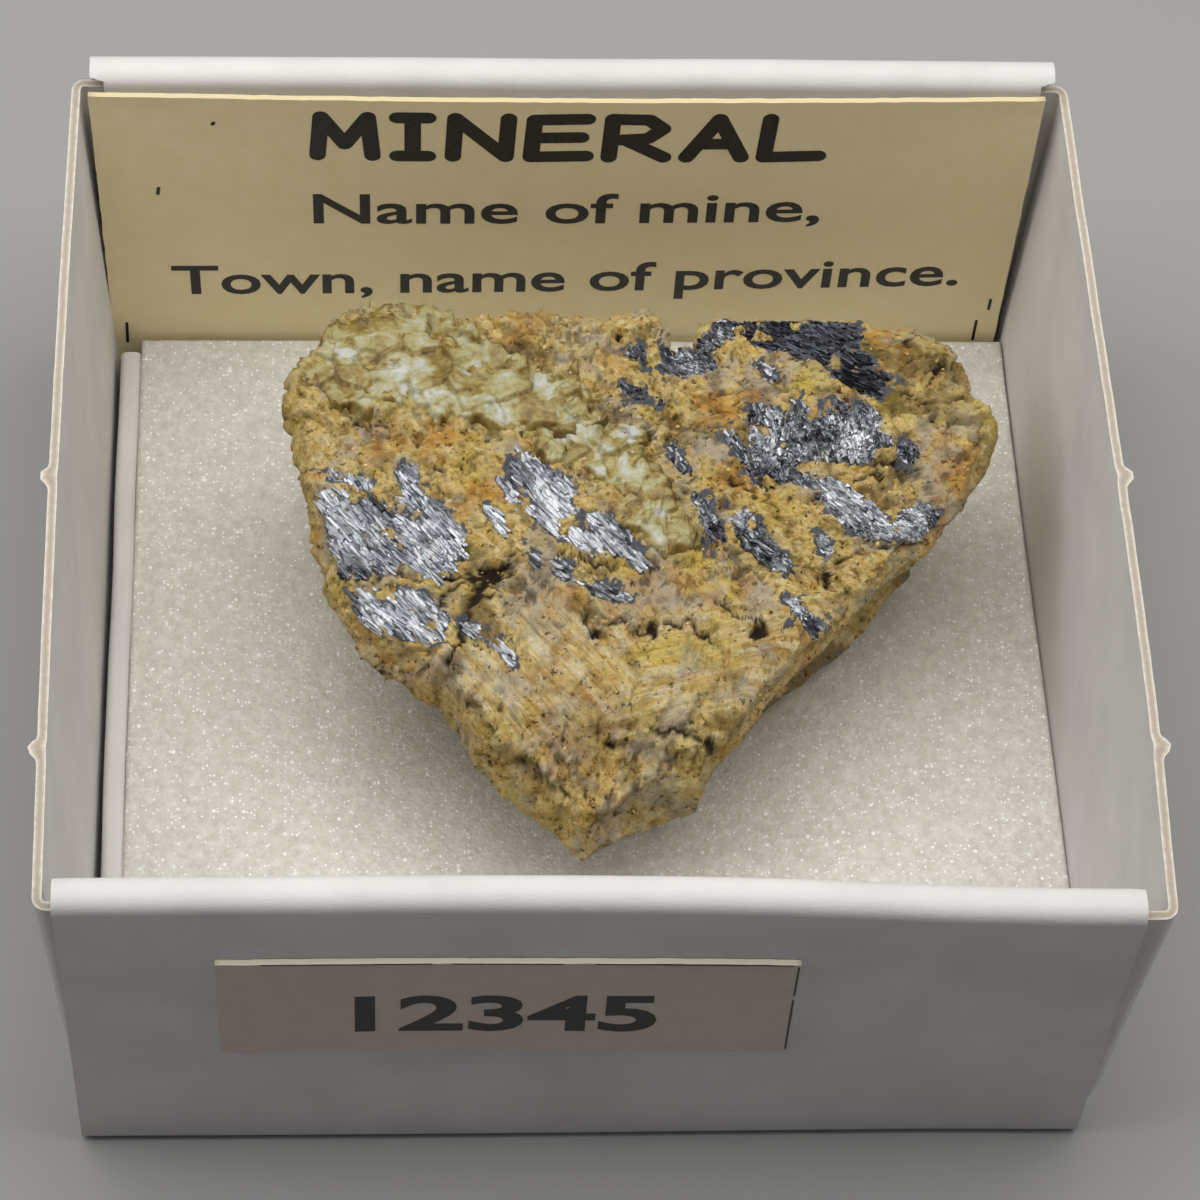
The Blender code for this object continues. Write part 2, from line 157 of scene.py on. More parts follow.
def grid_quads(rows, columns, wrap=False):
    """Quads between neighbouring rows and columns of a grid of points that is stored row by row."""
    r = np.arange(rows - 1)[:, None]
    c = np.arange(columns if wrap else columns - 1)[None, :]
    after = (c + 1) % columns
    quads = np.stack([r * columns + c, r * columns + after, (r + 1) * columns + after, (r + 1) * columns + c],
                     -1)
    return quads.reshape(-1, 4)


def piece(name, points, faces, materials, smooth=True, kinds=None, uv=None, fields=None):
    """A piece of the object. `faces` is a list of index arrays, `kinds` says which material each face
    takes, `uv` has one pair for each point, and `fields` are named numbers for each point."""
    mesh = bpy.data.meshes.new(name)
    mesh.from_pydata(np.asarray(points, float) * MM, [], [row for part in faces for row in part.tolist()])
    for material in materials:
        mesh.materials.append(material)
    mesh.polygons.foreach_set("use_smooth", np.full(len(mesh.polygons), smooth))
    if kinds is not None:
        mesh.polygons.foreach_set("material_index", np.asarray(kinds, np.int32))
    if uv is not None:
        corners = np.empty(len(mesh.loops), np.int32)
        mesh.loops.foreach_get("vertex_index", corners)
        mesh.uv_layers.new(name="UVMap").data.foreach_set("uv", np.asarray(uv, float)[corners].ravel())
    for field, values in (fields or {}).items():
        layer = mesh.attributes.new(field, "FLOAT", "POINT")
        layer.data.foreach_set("value", np.asarray(values, np.float32))
    made = bpy.data.objects.new(name, mesh)
    bpy.context.scene.collection.objects.link(made)
    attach(made, "root")
    return made


def border_of(rows, columns):
    """The points round the border of a grid that is stored row by row, in order."""
    index = np.arange(rows * columns).reshape(rows, columns)
    return np.concatenate([index[0, :-1], index[:-1, -1], index[-1, :0:-1], index[:0:-1, 0]])


def slab(top, bottom):
    """A closed body between two grids of points of one shape: both grids, and a rim that joins their
    borders. Returns the points and the face arrays."""
    border = border_of(*top.shape[:2])
    after = np.roll(border, -1)
    count = top.shape[0] * top.shape[1]
    rim = np.stack([after, border, border + count, after + count], -1)
    quads = grid_quads(*top.shape[:2])
    return np.concatenate([top.reshape(-1, 3), bottom.reshape(-1, 3)]), [quads, quads[:, ::-1] + count, rim]


def thick_sheet(middle, thickness):
    """A closed sheet from a grid of middle points, shape (rows, columns, 3): each side is the middle
    moved by half the thickness along its normal, and a rim joins the two along the border.
    Returns the points, the face arrays with the rim's last, and a UV pair for each point."""
    rows, columns = middle.shape[:2]
    along_row = np.gradient(middle, axis=1)
    along_column = np.gradient(middle, axis=0)
    normal = np.cross(along_row, along_column)
    normal /= np.linalg.norm(normal, axis=2, keepdims=True)
    half = np.broadcast_to(np.asarray(thickness, float) / 2, (rows, columns))[..., None]
    front = (middle + normal * half).reshape(-1, 3)
    back = (middle - normal * half).reshape(-1, 3)
    border = border_of(rows, columns)
    after = np.roll(border, -1)
    count = rows * columns
    rim_points = np.concatenate([front[border], back[border]])
    start, size = 2 * count, len(border)
    here = np.arange(size)
    following = (here + 1) % size
    rim = np.stack([start + following, start + here, start + size + here, start + size + following], -1)
    quads = grid_quads(rows, columns)
    reach = np.cumsum(np.r_[0, np.linalg.norm(middle.reshape(-1, 3)[after] - middle.reshape(-1, 3)[border],
                                              axis=1)])
    flat_uv = np.stack(np.meshgrid(np.linspace(0, 1, columns), np.linspace(0, 1, rows)), -1).reshape(-1, 2)
    rim_uv = np.concatenate([np.stack([reach[:-1], np.zeros(size)], -1),
                             np.stack([reach[:-1], np.ones(size)], -1)])
    return (np.concatenate([front, back, rim_points]), [quads, quads[:, ::-1] + count, rim],
            np.concatenate([flat_uv, flat_uv, rim_uv]))


print("helpers ready")

# %% Repeatable noise


def hash01(cell, seed):
    """A repeatable number from 0 to 1 for each whole-numbered cell: products with large odd numbers,
    mixed by shifts and exclusive-or."""
    mixed = (cell[..., 0] * 374761393 + cell[..., 1] * 668265263 + cell[..., 2] * 1274126177 + seed * 97531)
    mixed = mixed & 0xFFFFFFFF
    mixed = ((mixed ^ (mixed >> 13)) * 1103515245) & 0xFFFFFFFF
    mixed = ((mixed ^ (mixed >> 15)) * 277803737) & 0xFFFFFFFF
    return ((mixed ^ (mixed >> 16)) & 0xFFFF) / 65535.0


def value_noise(points, wavelength, seed):
    """Smooth random heights from -1 to 1: a number at each corner of a lattice, blended by smoothstep
    inside each cell. The wavelength may be one number or one for each axis."""
    cell = np.asarray(points, float) / wavelength + 100.0
    corner = np.floor(cell).astype(np.int64)
    part = cell - corner
    part = part * part * (3 - 2 * part)
    total = 0.0
    for offset in np.ndindex(2, 2, 2):
        weight = np.prod(np.where(offset, part, 1 - part), axis=-1)
        total = total + (hash01(corner + np.array(offset), seed) * 2 - 1) * weight
    return total


def fractal(points, wavelength, octaves, seed, gain=0.5):
    """Noise on noise: each octave has half the wavelength of the one before, and `gain` of its height."""
    return sum(value_noise(points, np.asarray(wavelength) / 2 ** k, seed + k) *
               gain ** k for k in range(octaves))


def cells(points, size, seed):
    """Cellular noise, with one scattered centre in each cell of a lattice. Returns each point's distance
    to its nearest centre and to the second nearest, the way to the nearest, and that centre's number."""
    spot = np.asarray(points, float) / size + 100.0
    base = np.floor(spot).astype(np.int64)
    nearest = np.full(spot.shape[:-1], 9.0)
    second = np.full(spot.shape[:-1], 9.0)
    way = np.zeros_like(spot)
    number = np.zeros(spot.shape[:-1])
    for offset in np.ndindex(3, 3, 3):
        cell = base + np.array(offset) - 1
        centre = cell + np.stack([hash01(cell, seed + k) for k in range(3)], -1)
        step = spot - centre
        distance = np.linalg.norm(step, axis=-1)
        closer = distance < nearest
        second = np.where(closer, nearest, np.minimum(second, distance))
        way = np.where(closer[..., None], step, way)
        number = np.where(closer, hash01(cell, seed + 3), number)
        nearest = np.minimum(nearest, distance)
    return nearest * size, second * size, way * size, number


def smoothstep(low, high, value):
    """0 below low, 1 above high, and a smooth S between."""
    part = np.clip((value - low) / (high - low), 0, 1)
    return part * part * (3 - 2 * part)


print("noise spans", np.round([value_noise(np.random.default_rng(1).random((999, 3)) * 9, 1, 5).min()], 2))

# %% One node at a time


def add(tree, kind, inputs=(), stops=(), **settings):
    """Adds a node to a tree. `settings` are its properties. `inputs` maps a socket's name or number to a
    value, or to the socket that feeds it. `stops` are a colour ramp's places and hex colours."""
    made = tree.nodes.new(kind)
    for key, value in settings.items():
        setattr(made, key, value)
    for key, value in dict(inputs).items():
        if isinstance(value, bpy.types.NodeSocket):
            tree.links.new(value, made.inputs[key])
        else:
            made.inputs[key].default_value = value
    for i, (where, colour) in enumerate(stops):
        elements = made.color_ramp.elements
        stop = elements[i] if i < 2 else elements.new(where)
        stop.position = where
        stop.color = linear(colour)
    return made


def finish(name, **values):
    """A new material. Returns it, its node tree and its Principled shader, with those plain values set on
    the shader's own sockets."""
    made = bpy.data.materials.new(name)
    made.use_nodes = True
    shader = made.node_tree.nodes["Principled BSDF"]
    for key, value in values.items():
        shader.inputs[key.replace("_", " ")].default_value = value
    return made, made.node_tree, shader


print("material tools ready")

# %% [markdown]
# ## The card tray
#
# A collector's tray is one blank of 0.45 mm chipboard with a white paper lining on both sides. The front
# and back walls are folded over double, so their tops are round and bright. The side walls are single,
# with a raw cut edge that shows the grey-tan core, and they end in flaps that are tucked inside the
# double walls. The blank could be folded by rotating flat panels. Here each strip is swept along a path
# instead, because a path with small arcs gives the soft, slightly crushed folds of real card.

# %% White card and its raw edge


def white_liner(name, colour):
    """White paper liner on chipboard: matt, with faint fibres about 0.06 mm wide and cloudy patches."""
    made, tree, shader = finish(name, Roughness=0.72, Specular_IOR_Level=0.35)
    where = add(tree, "ShaderNodeTexCoord")
    cloud = add(tree, "ShaderNodeTexNoise", {"Vector": where.outputs["Object"], "Scale": 260, "Detail": 5})
    tone = add(tree, "ShaderNodeValToRGB", {"Fac": cloud.outputs["Fac"]},
               stops=[(0.3, colour[0]), (0.7, colour[1])])
    tree.links.new(tone.outputs["Color"], shader.inputs["Base Color"])
    stretch = add(tree, "ShaderNodeMapping", {"Vector": where.outputs["Object"], "Scale": (0.25, 1, 1)})
    fibre = add(tree, "ShaderNodeTexNoise",
                {"Vector": stretch.outputs["Vector"], "Scale": 9000, "Detail": 4, "Distortion": 1.2})
    relief = add(tree, "ShaderNodeBump",
                 {"Height": fibre.outputs["Fac"], "Strength": 0.28, "Distance": 0.00006})
    tree.links.new(relief.outputs["Normal"], shader.inputs["Normal"])
    return made


def raw_edge(name, core, skin):
    """A cut edge of lined card. V runs from 0 to 1 across its thickness: the liner shows white at both
    sides of a tan core of pressed fibres."""
    made, tree, shader = finish(name, Roughness=0.9)
    where = add(tree, "ShaderNodeTexCoord")
    split = add(tree, "ShaderNodeSeparateXYZ", {"Vector": where.outputs["UV"]})
    from_middle = add(tree, "ShaderNodeMath", {0: split.outputs["Y"], 1: 0.5}, operation="SUBTRACT")
    distance = add(tree, "ShaderNodeMath", {0: from_middle.outputs[0]}, operation="ABSOLUTE")
    ragged = add(tree, "ShaderNodeTexNoise", {"Vector": where.outputs["Object"], "Scale": 3500, "Detail": 5})
    shaken = add(tree, "ShaderNodeMath", {0: ragged.outputs["Fac"], 1: 0.35, 2: distance.outputs[0]},
                 operation="MULTIPLY_ADD")
    tone = add(tree, "ShaderNodeValToRGB", {"Fac": shaken.outputs[0]},
               stops=[(0.30, core[0]), (0.50, core[1]), (0.64, skin)])
    tree.links.new(tone.outputs["Color"], shader.inputs["Base Color"])
    relief = add(tree, "ShaderNodeBump",
                 {"Height": ragged.outputs["Fac"], "Strength": 0.5, "Distance": 0.0001})
    tree.links.new(relief.outputs["Normal"], shader.inputs["Normal"])
    return made


white_card = white_liner("white_lined_chipboard", ("#CBC8C6", "#D6D3D1"))
card_edge = raw_edge("cut_chipboard", ("#A89E90", "#BFB4A2"), "#D6D1C8")
print("card materials made")

# %% The folded strip: base, double walls, floor flaps

CARD = 0.45
HALF = tray_high[1]            # half the tray's width, without the flare of its side walls
SHY = 0.65                     # the inner panels and floor flaps are cut this much narrower each side
TOP = tray_high[2]
DOUBLE = 1.6                   # a double wall, over its two layers and the flap between them
FLOOR = 1.0                    # top of the floor flaps


def bent_path(corners, radii):
    """Points along straight runs joined by arcs. At each corner the arc starts one radius before it and
    ends one radius after it, which is right for right angles."""
    corners = np.array(corners, float)
    path = [corners[:1]]
    quarter = np.linspace(0, math.pi / 2, 7)[:, None]
    for before, corner, after, radius in zip(corners, corners[1:], corners[2:], radii):
        arriving = (before - corner) / np.linalg.norm(before - corner)
        leaving = (after - corner) / np.linalg.norm(after - corner)
        centre = corner + (arriving + leaving) * radius
        path.append(centre - leaving * radius * np.cos(quarter) - arriving * radius * np.sin(quarter))
    path.append(corners[-1:])
    return np.concatenate(path)


def resample(path, gap):
    """The same path with extra points, so that none of its steps is longer than the gap."""
    steps = np.linalg.norm(np.diff(path, axis=0), axis=1)
    parts = [np.linspace(a, b, max(2, int(math.ceil(step / gap)) + 1))[:-1]
             for a, b, step in zip(path, path[1:], steps)]
    return np.concatenate(parts + [path[-1:]])


def wall_bow(points):
    """How the folded walls have warped: each leans outward a little with height, most at the front's
    right end, and the rolled tops wander by a few hundredths of a millimetre."""
    x, y, z = points[..., 0], points[..., 1], points[..., 2]
    up = np.clip(z / TOP, 0, 1) ** 1.5
    front = smoothstep(-12, -19, y)
    back = smoothstep(12, 19, y)
    right = smoothstep(-2, 21, x)
    wander = 0.05 * value_noise(np.stack([x, 0 * x, z], -1), (7, 1, 9), 3)
    moved = points.copy()
    moved[..., 1] += front * (-(0.05 + 0.5 * right) * up + wander) + back * (0.1 * up + wander)
    moved[..., 2] -= front * 0.35 * right * up
    return moved


outer, inner = HALF - CARD / 2, HALF - DOUBLE + CARD / 2
roof, flap = TOP - CARD / 2, FLOOR - CARD / 2
profile = resample(bent_path(
    [(-0.5, flap), (-inner, flap), (-inner, roof), (-outer, roof), (-outer, CARD / 2),
     (outer, CARD / 2), (outer, roof), (inner, roof), (inner, flap), (0.5, flap)],
    (0.3, 0.5, 0.5, 0.3, 0.3, 0.5, 0.5, 0.3)), 1.6)
tucked_in = (np.abs(profile[:, 0]) < inner + 0.1) & (profile[:, 1] > FLOOR / 2)
half_width = HALF - 0.05 - (SHY - 0.05) * tucked_in
across = np.linspace(-1, 1, 57)
strip_middle = np.stack([
    across[None, :] * half_width[:, None],
    np.broadcast_to(profile[:, :1], (len(profile), 57)),
    np.broadcast_to(profile[:, 1:], (len(profile), 57))], -1)
points, faces, uv = thick_sheet(wall_bow(strip_middle), CARD)
kinds = np.concatenate([np.full(len(part), kind) for part, kind in zip(faces, (0, 0, 1))])
folded_strip = piece("tray_folded_strip", points, faces, [white_card, card_edge], kinds=kinds, uv=uv)
print("folded strip:", len(folded_strip.data.polygons), "faces,", np.round(points.min(0), 2),
      np.round(points.max(0), 2))

# %% The side walls with their tucked flaps

FLARE = tray_high[0] - HALF
RAW_TOP = TOP - 1.3
FLAP_LENGTH = 11.5
SIDE_CARD = 0.38               # the side walls' cut edges look thinner than the nominal card


def skew(y):
    """How far the right wall stands out beyond its flare, in millimetres: the tray has been squeezed
    crooked, so the wall is nearly in place at the back and stands out most at the front."""
    return 0.72 * smoothstep(22, -20, y) - 0.12


def side_wall(side):
    """One bent card, seen from above as a U: a flap, a rounded corner, the wall, a corner, a flap. It is
    carried straight up and leans out by the flare. Its top edge has small nubs left by the die,
    where the card swells outward."""
    reach = HALF - DOUBLE / 2
    foot = HALF - CARD / 2
    plan = resample(bent_path([(foot - FLAP_LENGTH, -reach), (foot, -reach), (foot, reach),
                               (foot - FLAP_LENGTH, reach)], (0.35, 0.35)), 0.2)
    in_flap = np.abs(plan[:, 1]) > reach - 0.3
    y = plan[:, 1]
    ragged = 0.05 * value_noise(np.stack([plan[:, 0], y, 0 * y], -1), 0.9, 17 + side)
    nubs = sum(0.36 * np.exp(-((y - at) / 0.3) ** 2) for at in (-0.4, -13.3)) * ~in_flap
    high = RAW_TOP + ragged + 0.4 * nubs
    low = np.where(in_flap, CARD + 0.05, 0.02)
    up = np.linspace(0, 1, 13)[:, None]
    z = low + (high - low) * up
    lean = z / RAW_TOP
    bulge = 0.18 * np.cos(np.clip(y / HALF, -1, 1) * math.pi / 2) * lean * ~in_flap
    crooked = skew(y) * smoothstep(0.3, 3.0, z) * smoothstep(foot - FLAP_LENGTH, foot,
                                                             plan[:, 0]) * (side > 0)
    swell = nubs * smoothstep(0.9, 1.0, up)
    x = side * (plan[:, 0] + FLARE * lean + bulge + crooked + swell / 2)
    middle = np.stack([x, np.broadcast_to(y, z.shape), z], -1)
    points, faces, uv = thick_sheet(wall_bow(middle), SIDE_CARD + swell)
    if side < 0:
        faces = [part[:, ::-1] for part in faces]
    kinds = np.concatenate([np.full(len(part), kind) for part, kind in zip(faces, (0, 0, 1))])
    name = "tray_right_wall" if side > 0 else "tray_left_wall"
    return piece(name, points, faces, [white_card, card_edge], kinds=kinds, uv=uv)


tray_walls = [side_wall(-1), side_wall(1)]
for made in (folded_strip, *tray_walls):
    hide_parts("card_tray")
print("side walls:", [len(wall.data.polygons) for wall in tray_walls])

# %% [markdown]
# ## Foam pad
#
# The pad is cut from fine-celled packing foam. Its cells are about 0.2 mm wide, and the skins of some of
# them catch the light, painted here as white specks in the material's colour. A slab with a little unevenness
# and rounded cut edges is enough for the shape. The cells are a cellular pattern in the material, at their
# real size.

# %% Foam material and pad


def packing_foam():
    """Expanded polyethylene foam, knife cut: cream white, with cells about 0.2 mm wide. Most are open cups,
    and the glints of a few turned cell skins are painted on as white specks about 0.1 mm wide."""
    made, tree, shader = finish("expanded_foam", Roughness=0.5, Specular_IOR_Level=0.45)
    where = add(tree, "ShaderNodeTexCoord")
    at = where.outputs["Object"]
    cup = add(tree, "ShaderNodeTexVoronoi", {"Vector": at, "Scale": 5200})
    lump = add(tree, "ShaderNodeTexNoise", {"Vector": at, "Scale": 2600, "Detail": 6, "Roughness": 0.65})
    height = add(tree, "ShaderNodeMath", {0: cup.outputs["Distance"], 1: 0.5, 2: lump.outputs["Fac"]},
                 operation="MULTIPLY_ADD")
    relief = add(tree, "ShaderNodeBump", {"Height": height.outputs[0], "Strength": 0.6, "Distance": 0.00014})
    tree.links.new(relief.outputs["Normal"], shader.inputs["Normal"])
    cloud = add(tree, "ShaderNodeTexNoise", {"Vector": at, "Scale": 2300, "Detail": 8, "Roughness": 0.75})
    body = add(tree, "ShaderNodeValToRGB", {"Fac": cloud.outputs["Fac"]},
               stops=[(0.36, "#C3C0B7"), (0.52, "#D2CFC7"), (0.66, "#E1DFD9")])
    colour = body.outputs["Color"]
    # Painted highlights: in two sizes of cell, a few chosen cells are mixed to white as glints.
    for scale, chosen_above in ((6200, 0.80), (3900, 0.92)):
        skins = add(tree, "ShaderNodeTexVoronoi", {"Vector": at, "Scale": scale})
        chosen = add(tree, "ShaderNodeSeparateColor", {"Color": skins.outputs["Color"]})
        shines = add(tree, "ShaderNodeMapRange",
                     {0: chosen.outputs["Red"], 1: chosen_above, 2: chosen_above + 0.06})
        near = add(tree, "ShaderNodeMapRange", {0: skins.outputs["Distance"], 1: 0.42, 2: 0.2})
        painted_glint = add(tree, "ShaderNodeMath", {0: shines.outputs[0], 1: near.outputs[0]}, operation="MULTIPLY")
        tone = add(tree, "ShaderNodeMix", {0: painted_glint.outputs[0], 6: colour, 7: linear("#FFFFFF")},
                   data_type="RGBA")
        colour = tone.outputs[2]
    tree.links.new(colour, shader.inputs["Base Color"])
    return made


def foam_pad():
    """A slab as one closed sheet: its middle wanders by a few hundredths of a millimetre, and its
    thickness falls by a quarter circle over the last 0.25 mm before each cut edge."""
    low, high = foam_low.copy(), foam_high.copy()
    low[2] = FLOOR + 0.02
    ease = lambda count, span: np.unique(np.concatenate([
        np.linspace(0, 0.3, 6), np.linspace(0.3, span - 0.3, count), np.linspace(span - 0.3, span, 6)]))
    high[1] += 0.45
    x = low[0] + ease(90, high[0] - low[0])
    y = low[1] + ease(84, high[1] - low[1])
    gx, gy = np.meshgrid(x, y)
    edge = np.minimum.reduce([gx - low[0], high[0] - gx, gy - low[1], high[1] - gy])
    gx = gx + (gx - low[0]) / (high[0] - low[0]) * (skew(gy) + 0.42)
    rounding = 0.22 * (1 - np.sqrt(1 - (1 - np.clip(edge / 0.25, 0, 1)) ** 2))
    spots = np.stack([gx, gy, 0 * gx], -1)
    top = high[2] - rounding + 0.03 * value_noise(spots, 6, 41) + 0.02 * value_noise(spots, 1.2, 42) - 0.03
    bottom = low[2] + rounding
    middle = np.stack([gx, gy, (top + bottom) / 2], -1)
    half = np.stack([np.zeros_like(gx), np.zeros_like(gx), (top - bottom) / 2], -1)
    pad = piece("foam_pad_cut", *slab(middle + half, middle - half), [packing_foam()])
    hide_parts("foam_pad")
    return pad


pad = foam_pad()
print("pad:", [round(v / MM, 1) for v in pad.dimensions])

# %% The lining folded up beside the pad


def folded_lining():
    """The gap left of the pad is filled by a strip of the tray's lining, folded over a round top that stands
    as high as the pad. It runs the length of the pad and wanders by a few hundredths of a millimetre."""
    near, far, crest = foam_low[0] - 0.03, foam_low[0] - 0.88, foam_high[2] - 0.12
    section = bent_path([(near, FLOOR + 0.05), (near, crest), (far, crest), (far, FLOOR + 0.05)], (0.3, 0.3))
    y = np.linspace(foam_low[1] + 0.2, foam_high[1] - 0.3, 90)[:, None]
    drift = 0.04 * value_noise(np.stack([y, 0 * y, 0 * y], -1), 5, 45)
    shape = (len(y), len(section))
    middle = np.stack([section[:, 0] + drift, np.broadcast_to(y, shape),
                       np.broadcast_to(section[:, 1], shape)], -1)
    points, faces, uv = thick_sheet(middle, 0.12)
    return piece("lining_fold", points, faces, [white_card], uv=uv)


lining = folded_lining()
print("lining:", [round(v / MM, 1) for v in lining.dimensions])

# %% [markdown]
# ## Name card and number label
#
# Both are office card, printed and cut by hand, so their edges are pale and a little rough. The printing
# is a hair-thin layer. It could be an image, but here each letter is a thin solid that lies on the card,
# and one function carries points on the flat card to the bent one, for the card and its ink alike.

# %% Cream and grey card


def office_card(name, colour, edge):
    """Printer card: matt and slightly mottled, and paler where it is cut. The attribute `cut` is 1 on the
    card's edges."""
    made, tree, shader = finish(name, Roughness=0.8, Specular_IOR_Level=0.3)
    where = add(tree, "ShaderNodeTexCoord")
    cloud = add(tree, "ShaderNodeTexNoise", {"Vector": where.outputs["Object"], "Scale": 900, "Detail": 6})
    face = add(tree, "ShaderNodeValToRGB", {"Fac": cloud.outputs["Fac"]},
               stops=[(0.3, colour[0]), (0.7, colour[1])])
    cut = add(tree, "ShaderNodeAttribute", attribute_name="cut")
    tone = add(tree, "ShaderNodeMix", {0: cut.outputs["Fac"], 6: face.outputs["Color"], 7: linear(edge)},
               data_type="RGBA")
    tree.links.new(tone.outputs[2], shader.inputs["Base Color"])
    fibre = add(tree, "ShaderNodeTexNoise", {"Vector": where.outputs["Object"], "Scale": 12000, "Detail": 3})
    relief = add(tree, "ShaderNodeBump",
                 {"Height": fibre.outputs["Fac"], "Strength": 0.2, "Distance": 0.00004})
    tree.links.new(relief.outputs["Normal"], shader.inputs["Normal"])
    return made


PAPER = 0.25
cream_card = office_card("cream_printer_card", ("#ECDCAE", "#F0E2B8"), "#D2C49C")
grey_card = office_card("ivory_printer_card", ("#C4B6AC", "#CABDB3"), "#E9E2CC")
name_width = card_high[0] - card_low[0]
name_height = 18.9
label_width, label_height = label_high[0] - label_low[0], label_high[2] - label_low[2]


def on_name_card(u, v, lift):
    """A point u across and v up the name card, lifted off its front: the card leans back, and bows so that
    its middle stands a little forward of its ends."""
    bow = 0.22 * np.cos(u / name_width * math.pi) * (0.3 + 0.7 * v / name_height)
    foot, head = card_low[1] + PAPER / 2 + 0.42, card_high[1] - PAPER / 2
    back = foot + (head - foot) * v / name_height - bow - lift
    return np.stack([u * (1 + 0.012 * v / name_height) - 0.25, back, FLOOR + 0.03 + v], -1)


def on_label(u, v, lift):
    """A point u across and v up the number label, lifted off its front. Its lower right corner has come
    away from the wall by a tenth of a millimetre."""
    away = 0.12 * smoothstep(0.5, 1.0, u / label_width + 0.5) * smoothstep(0.6, 0.0, v / label_height)
    x = (label_low[0] + label_high[0]) / 2 + u
    wall = wall_bow(np.stack([x, np.full_like(x, -HALF), label_low[2] + v], -1))
    return np.stack([wall[..., 0], wall[..., 1] - 0.02 - PAPER / 2 - away - lift, wall[..., 2]], -1)


def cut_card(name, surface, width, height, material, seed):
    """A thin card on a surface function, with edges that wander by a few hundredths of a millimetre."""
    u = np.linspace(-width / 2, width / 2, 83)
    v = np.linspace(0, height, 37)
    gu, gv = np.meshgrid(u, v)
    border = np.zeros_like(gu)
    border[0] = border[-1] = 1
    border[:, 0] = border[:, -1] = 1
    spots = np.stack([gu, gv, 0 * gu], -1)
    gu = gu + border * 0.025 * value_noise(spots, 0.5, seed)
    gv = gv + border * 0.025 * value_noise(spots, 0.5, seed + 1)
    points, faces, uv = thick_sheet(surface(gu, gv, 0.0), PAPER)
    cut = np.zeros(len(points))
    cut[2 * gu.size:] = 1
    made = piece(name, points, faces, [material], uv=uv, fields={"cut": cut})
    return made


name_card = cut_card("name_card_cream", on_name_card, name_width, name_height, cream_card, 51)
number_label = cut_card("number_label_card", on_label, label_width, label_height, grey_card, 61)
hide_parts("name_card")
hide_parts("number_label")
print("cards:", [round(v / MM, 2) for v in name_card.dimensions],
      [round(v / MM, 2) for v in number_label.dimensions])

# %% Printing ink

INK = 0.012                    # how far the ink stands off the card, thicker than toner so that it renders


def toner():
    """Black toner fused on paper: nearly black, with a slight sheen and tiny pale misses."""
    made, tree, shader = finish("black_toner", Roughness=0.5)
    where = add(tree, "ShaderNodeTexCoord")
    misses = add(tree, "ShaderNodeTexNoise", {"Vector": where.outputs["Object"], "Scale": 7000, "Detail": 4})
    tone = add(tree, "ShaderNodeValToRGB", {"Fac": misses.outputs["Fac"]},
               stops=[(0.6, "#1B1918"), (0.78, "#4A443E")])
    tree.links.new(tone.outputs["Color"], shader.inputs["Base Color"])
    return made


def flat_letters(words, left, right, base, rise, cap_height, weight):
    """The outline of a line of type as points and faces in millimetres: set in the plain sans face,
    thickened by the weight, and stretched to reach from left to right with capitals of that height. The
    line starts at the base height and gains the rise by its end."""
    curve = bpy.data.curves.new("type", "FONT")
    curve.body = words
    curve.resolution_u = 4
    curve.offset = weight
    curve.extrude = 0.5
    holder = bpy.data.objects.new("type", curve)
    bpy.context.scene.collection.objects.link(holder)
    bpy.context.view_layer.update()
    flat = bpy.data.meshes.new_from_object(holder.evaluated_get(bpy.context.evaluated_depsgraph_get()))
    work = bmesh.new()
    work.from_mesh(flat)
    bmesh.ops.remove_doubles(work, verts=work.verts, dist=1e-5)
    work.to_mesh(flat)
    work.free()
    points = np.array([v.co for v in flat.vertices])
    faces = [tuple(p.vertices) for p in flat.polygons]
    bpy.data.objects.remove(holder, do_unlink=True)
    low, high = points.min(0), points.max(0)
    share = (points[:, 0] - low[0]) / (high[0] - low[0])
    points[:, 0] = left + share * (right - left)
    points[:, 1] = base + rise * share + (points[:, 1] + weight) / (0.729 + 2 * weight) * cap_height
    points[:, 2] = np.where(points[:, 2] > 0, 1.0, 0.0)
    return points, faces


HEADING = {      # strokes of bold round capitals, each letter in a box one unit wide and high
    "M": [(0, 0, .08, 1), (.08, 1, .5, .3), (.5, .3, .92, 1), (.92, 1, 1, 0)],
    "I": [(.5, 0, .5, 1), (.05, 1, .95, 1), (.05, 0, .95, 0)],
    "N": [(0, 0, .04, 1), (.04, 1, .96, 0), (.96, 0, 1, 1)],
    "E": [(1, 1, .05, .97), (.05, .97, 0, 0), (0, 0, 1, .03), (.03, .5, .9, .52)],
    "R": [(0, 0, .04, 1), (.04, 1, .7, .98), (.7, .98, .95, .75), (.95, .75, .7, .5), (.7, .5, .1, .45),
          (.3, .45, 1, 0)],
    "A": [(0, 0, .55, 1), (.55, 1, 1, 0), (.22, .35, .85, .35)],
    "L": [(.05, 1, 0, 0), (0, 0, 1, .03)],
}


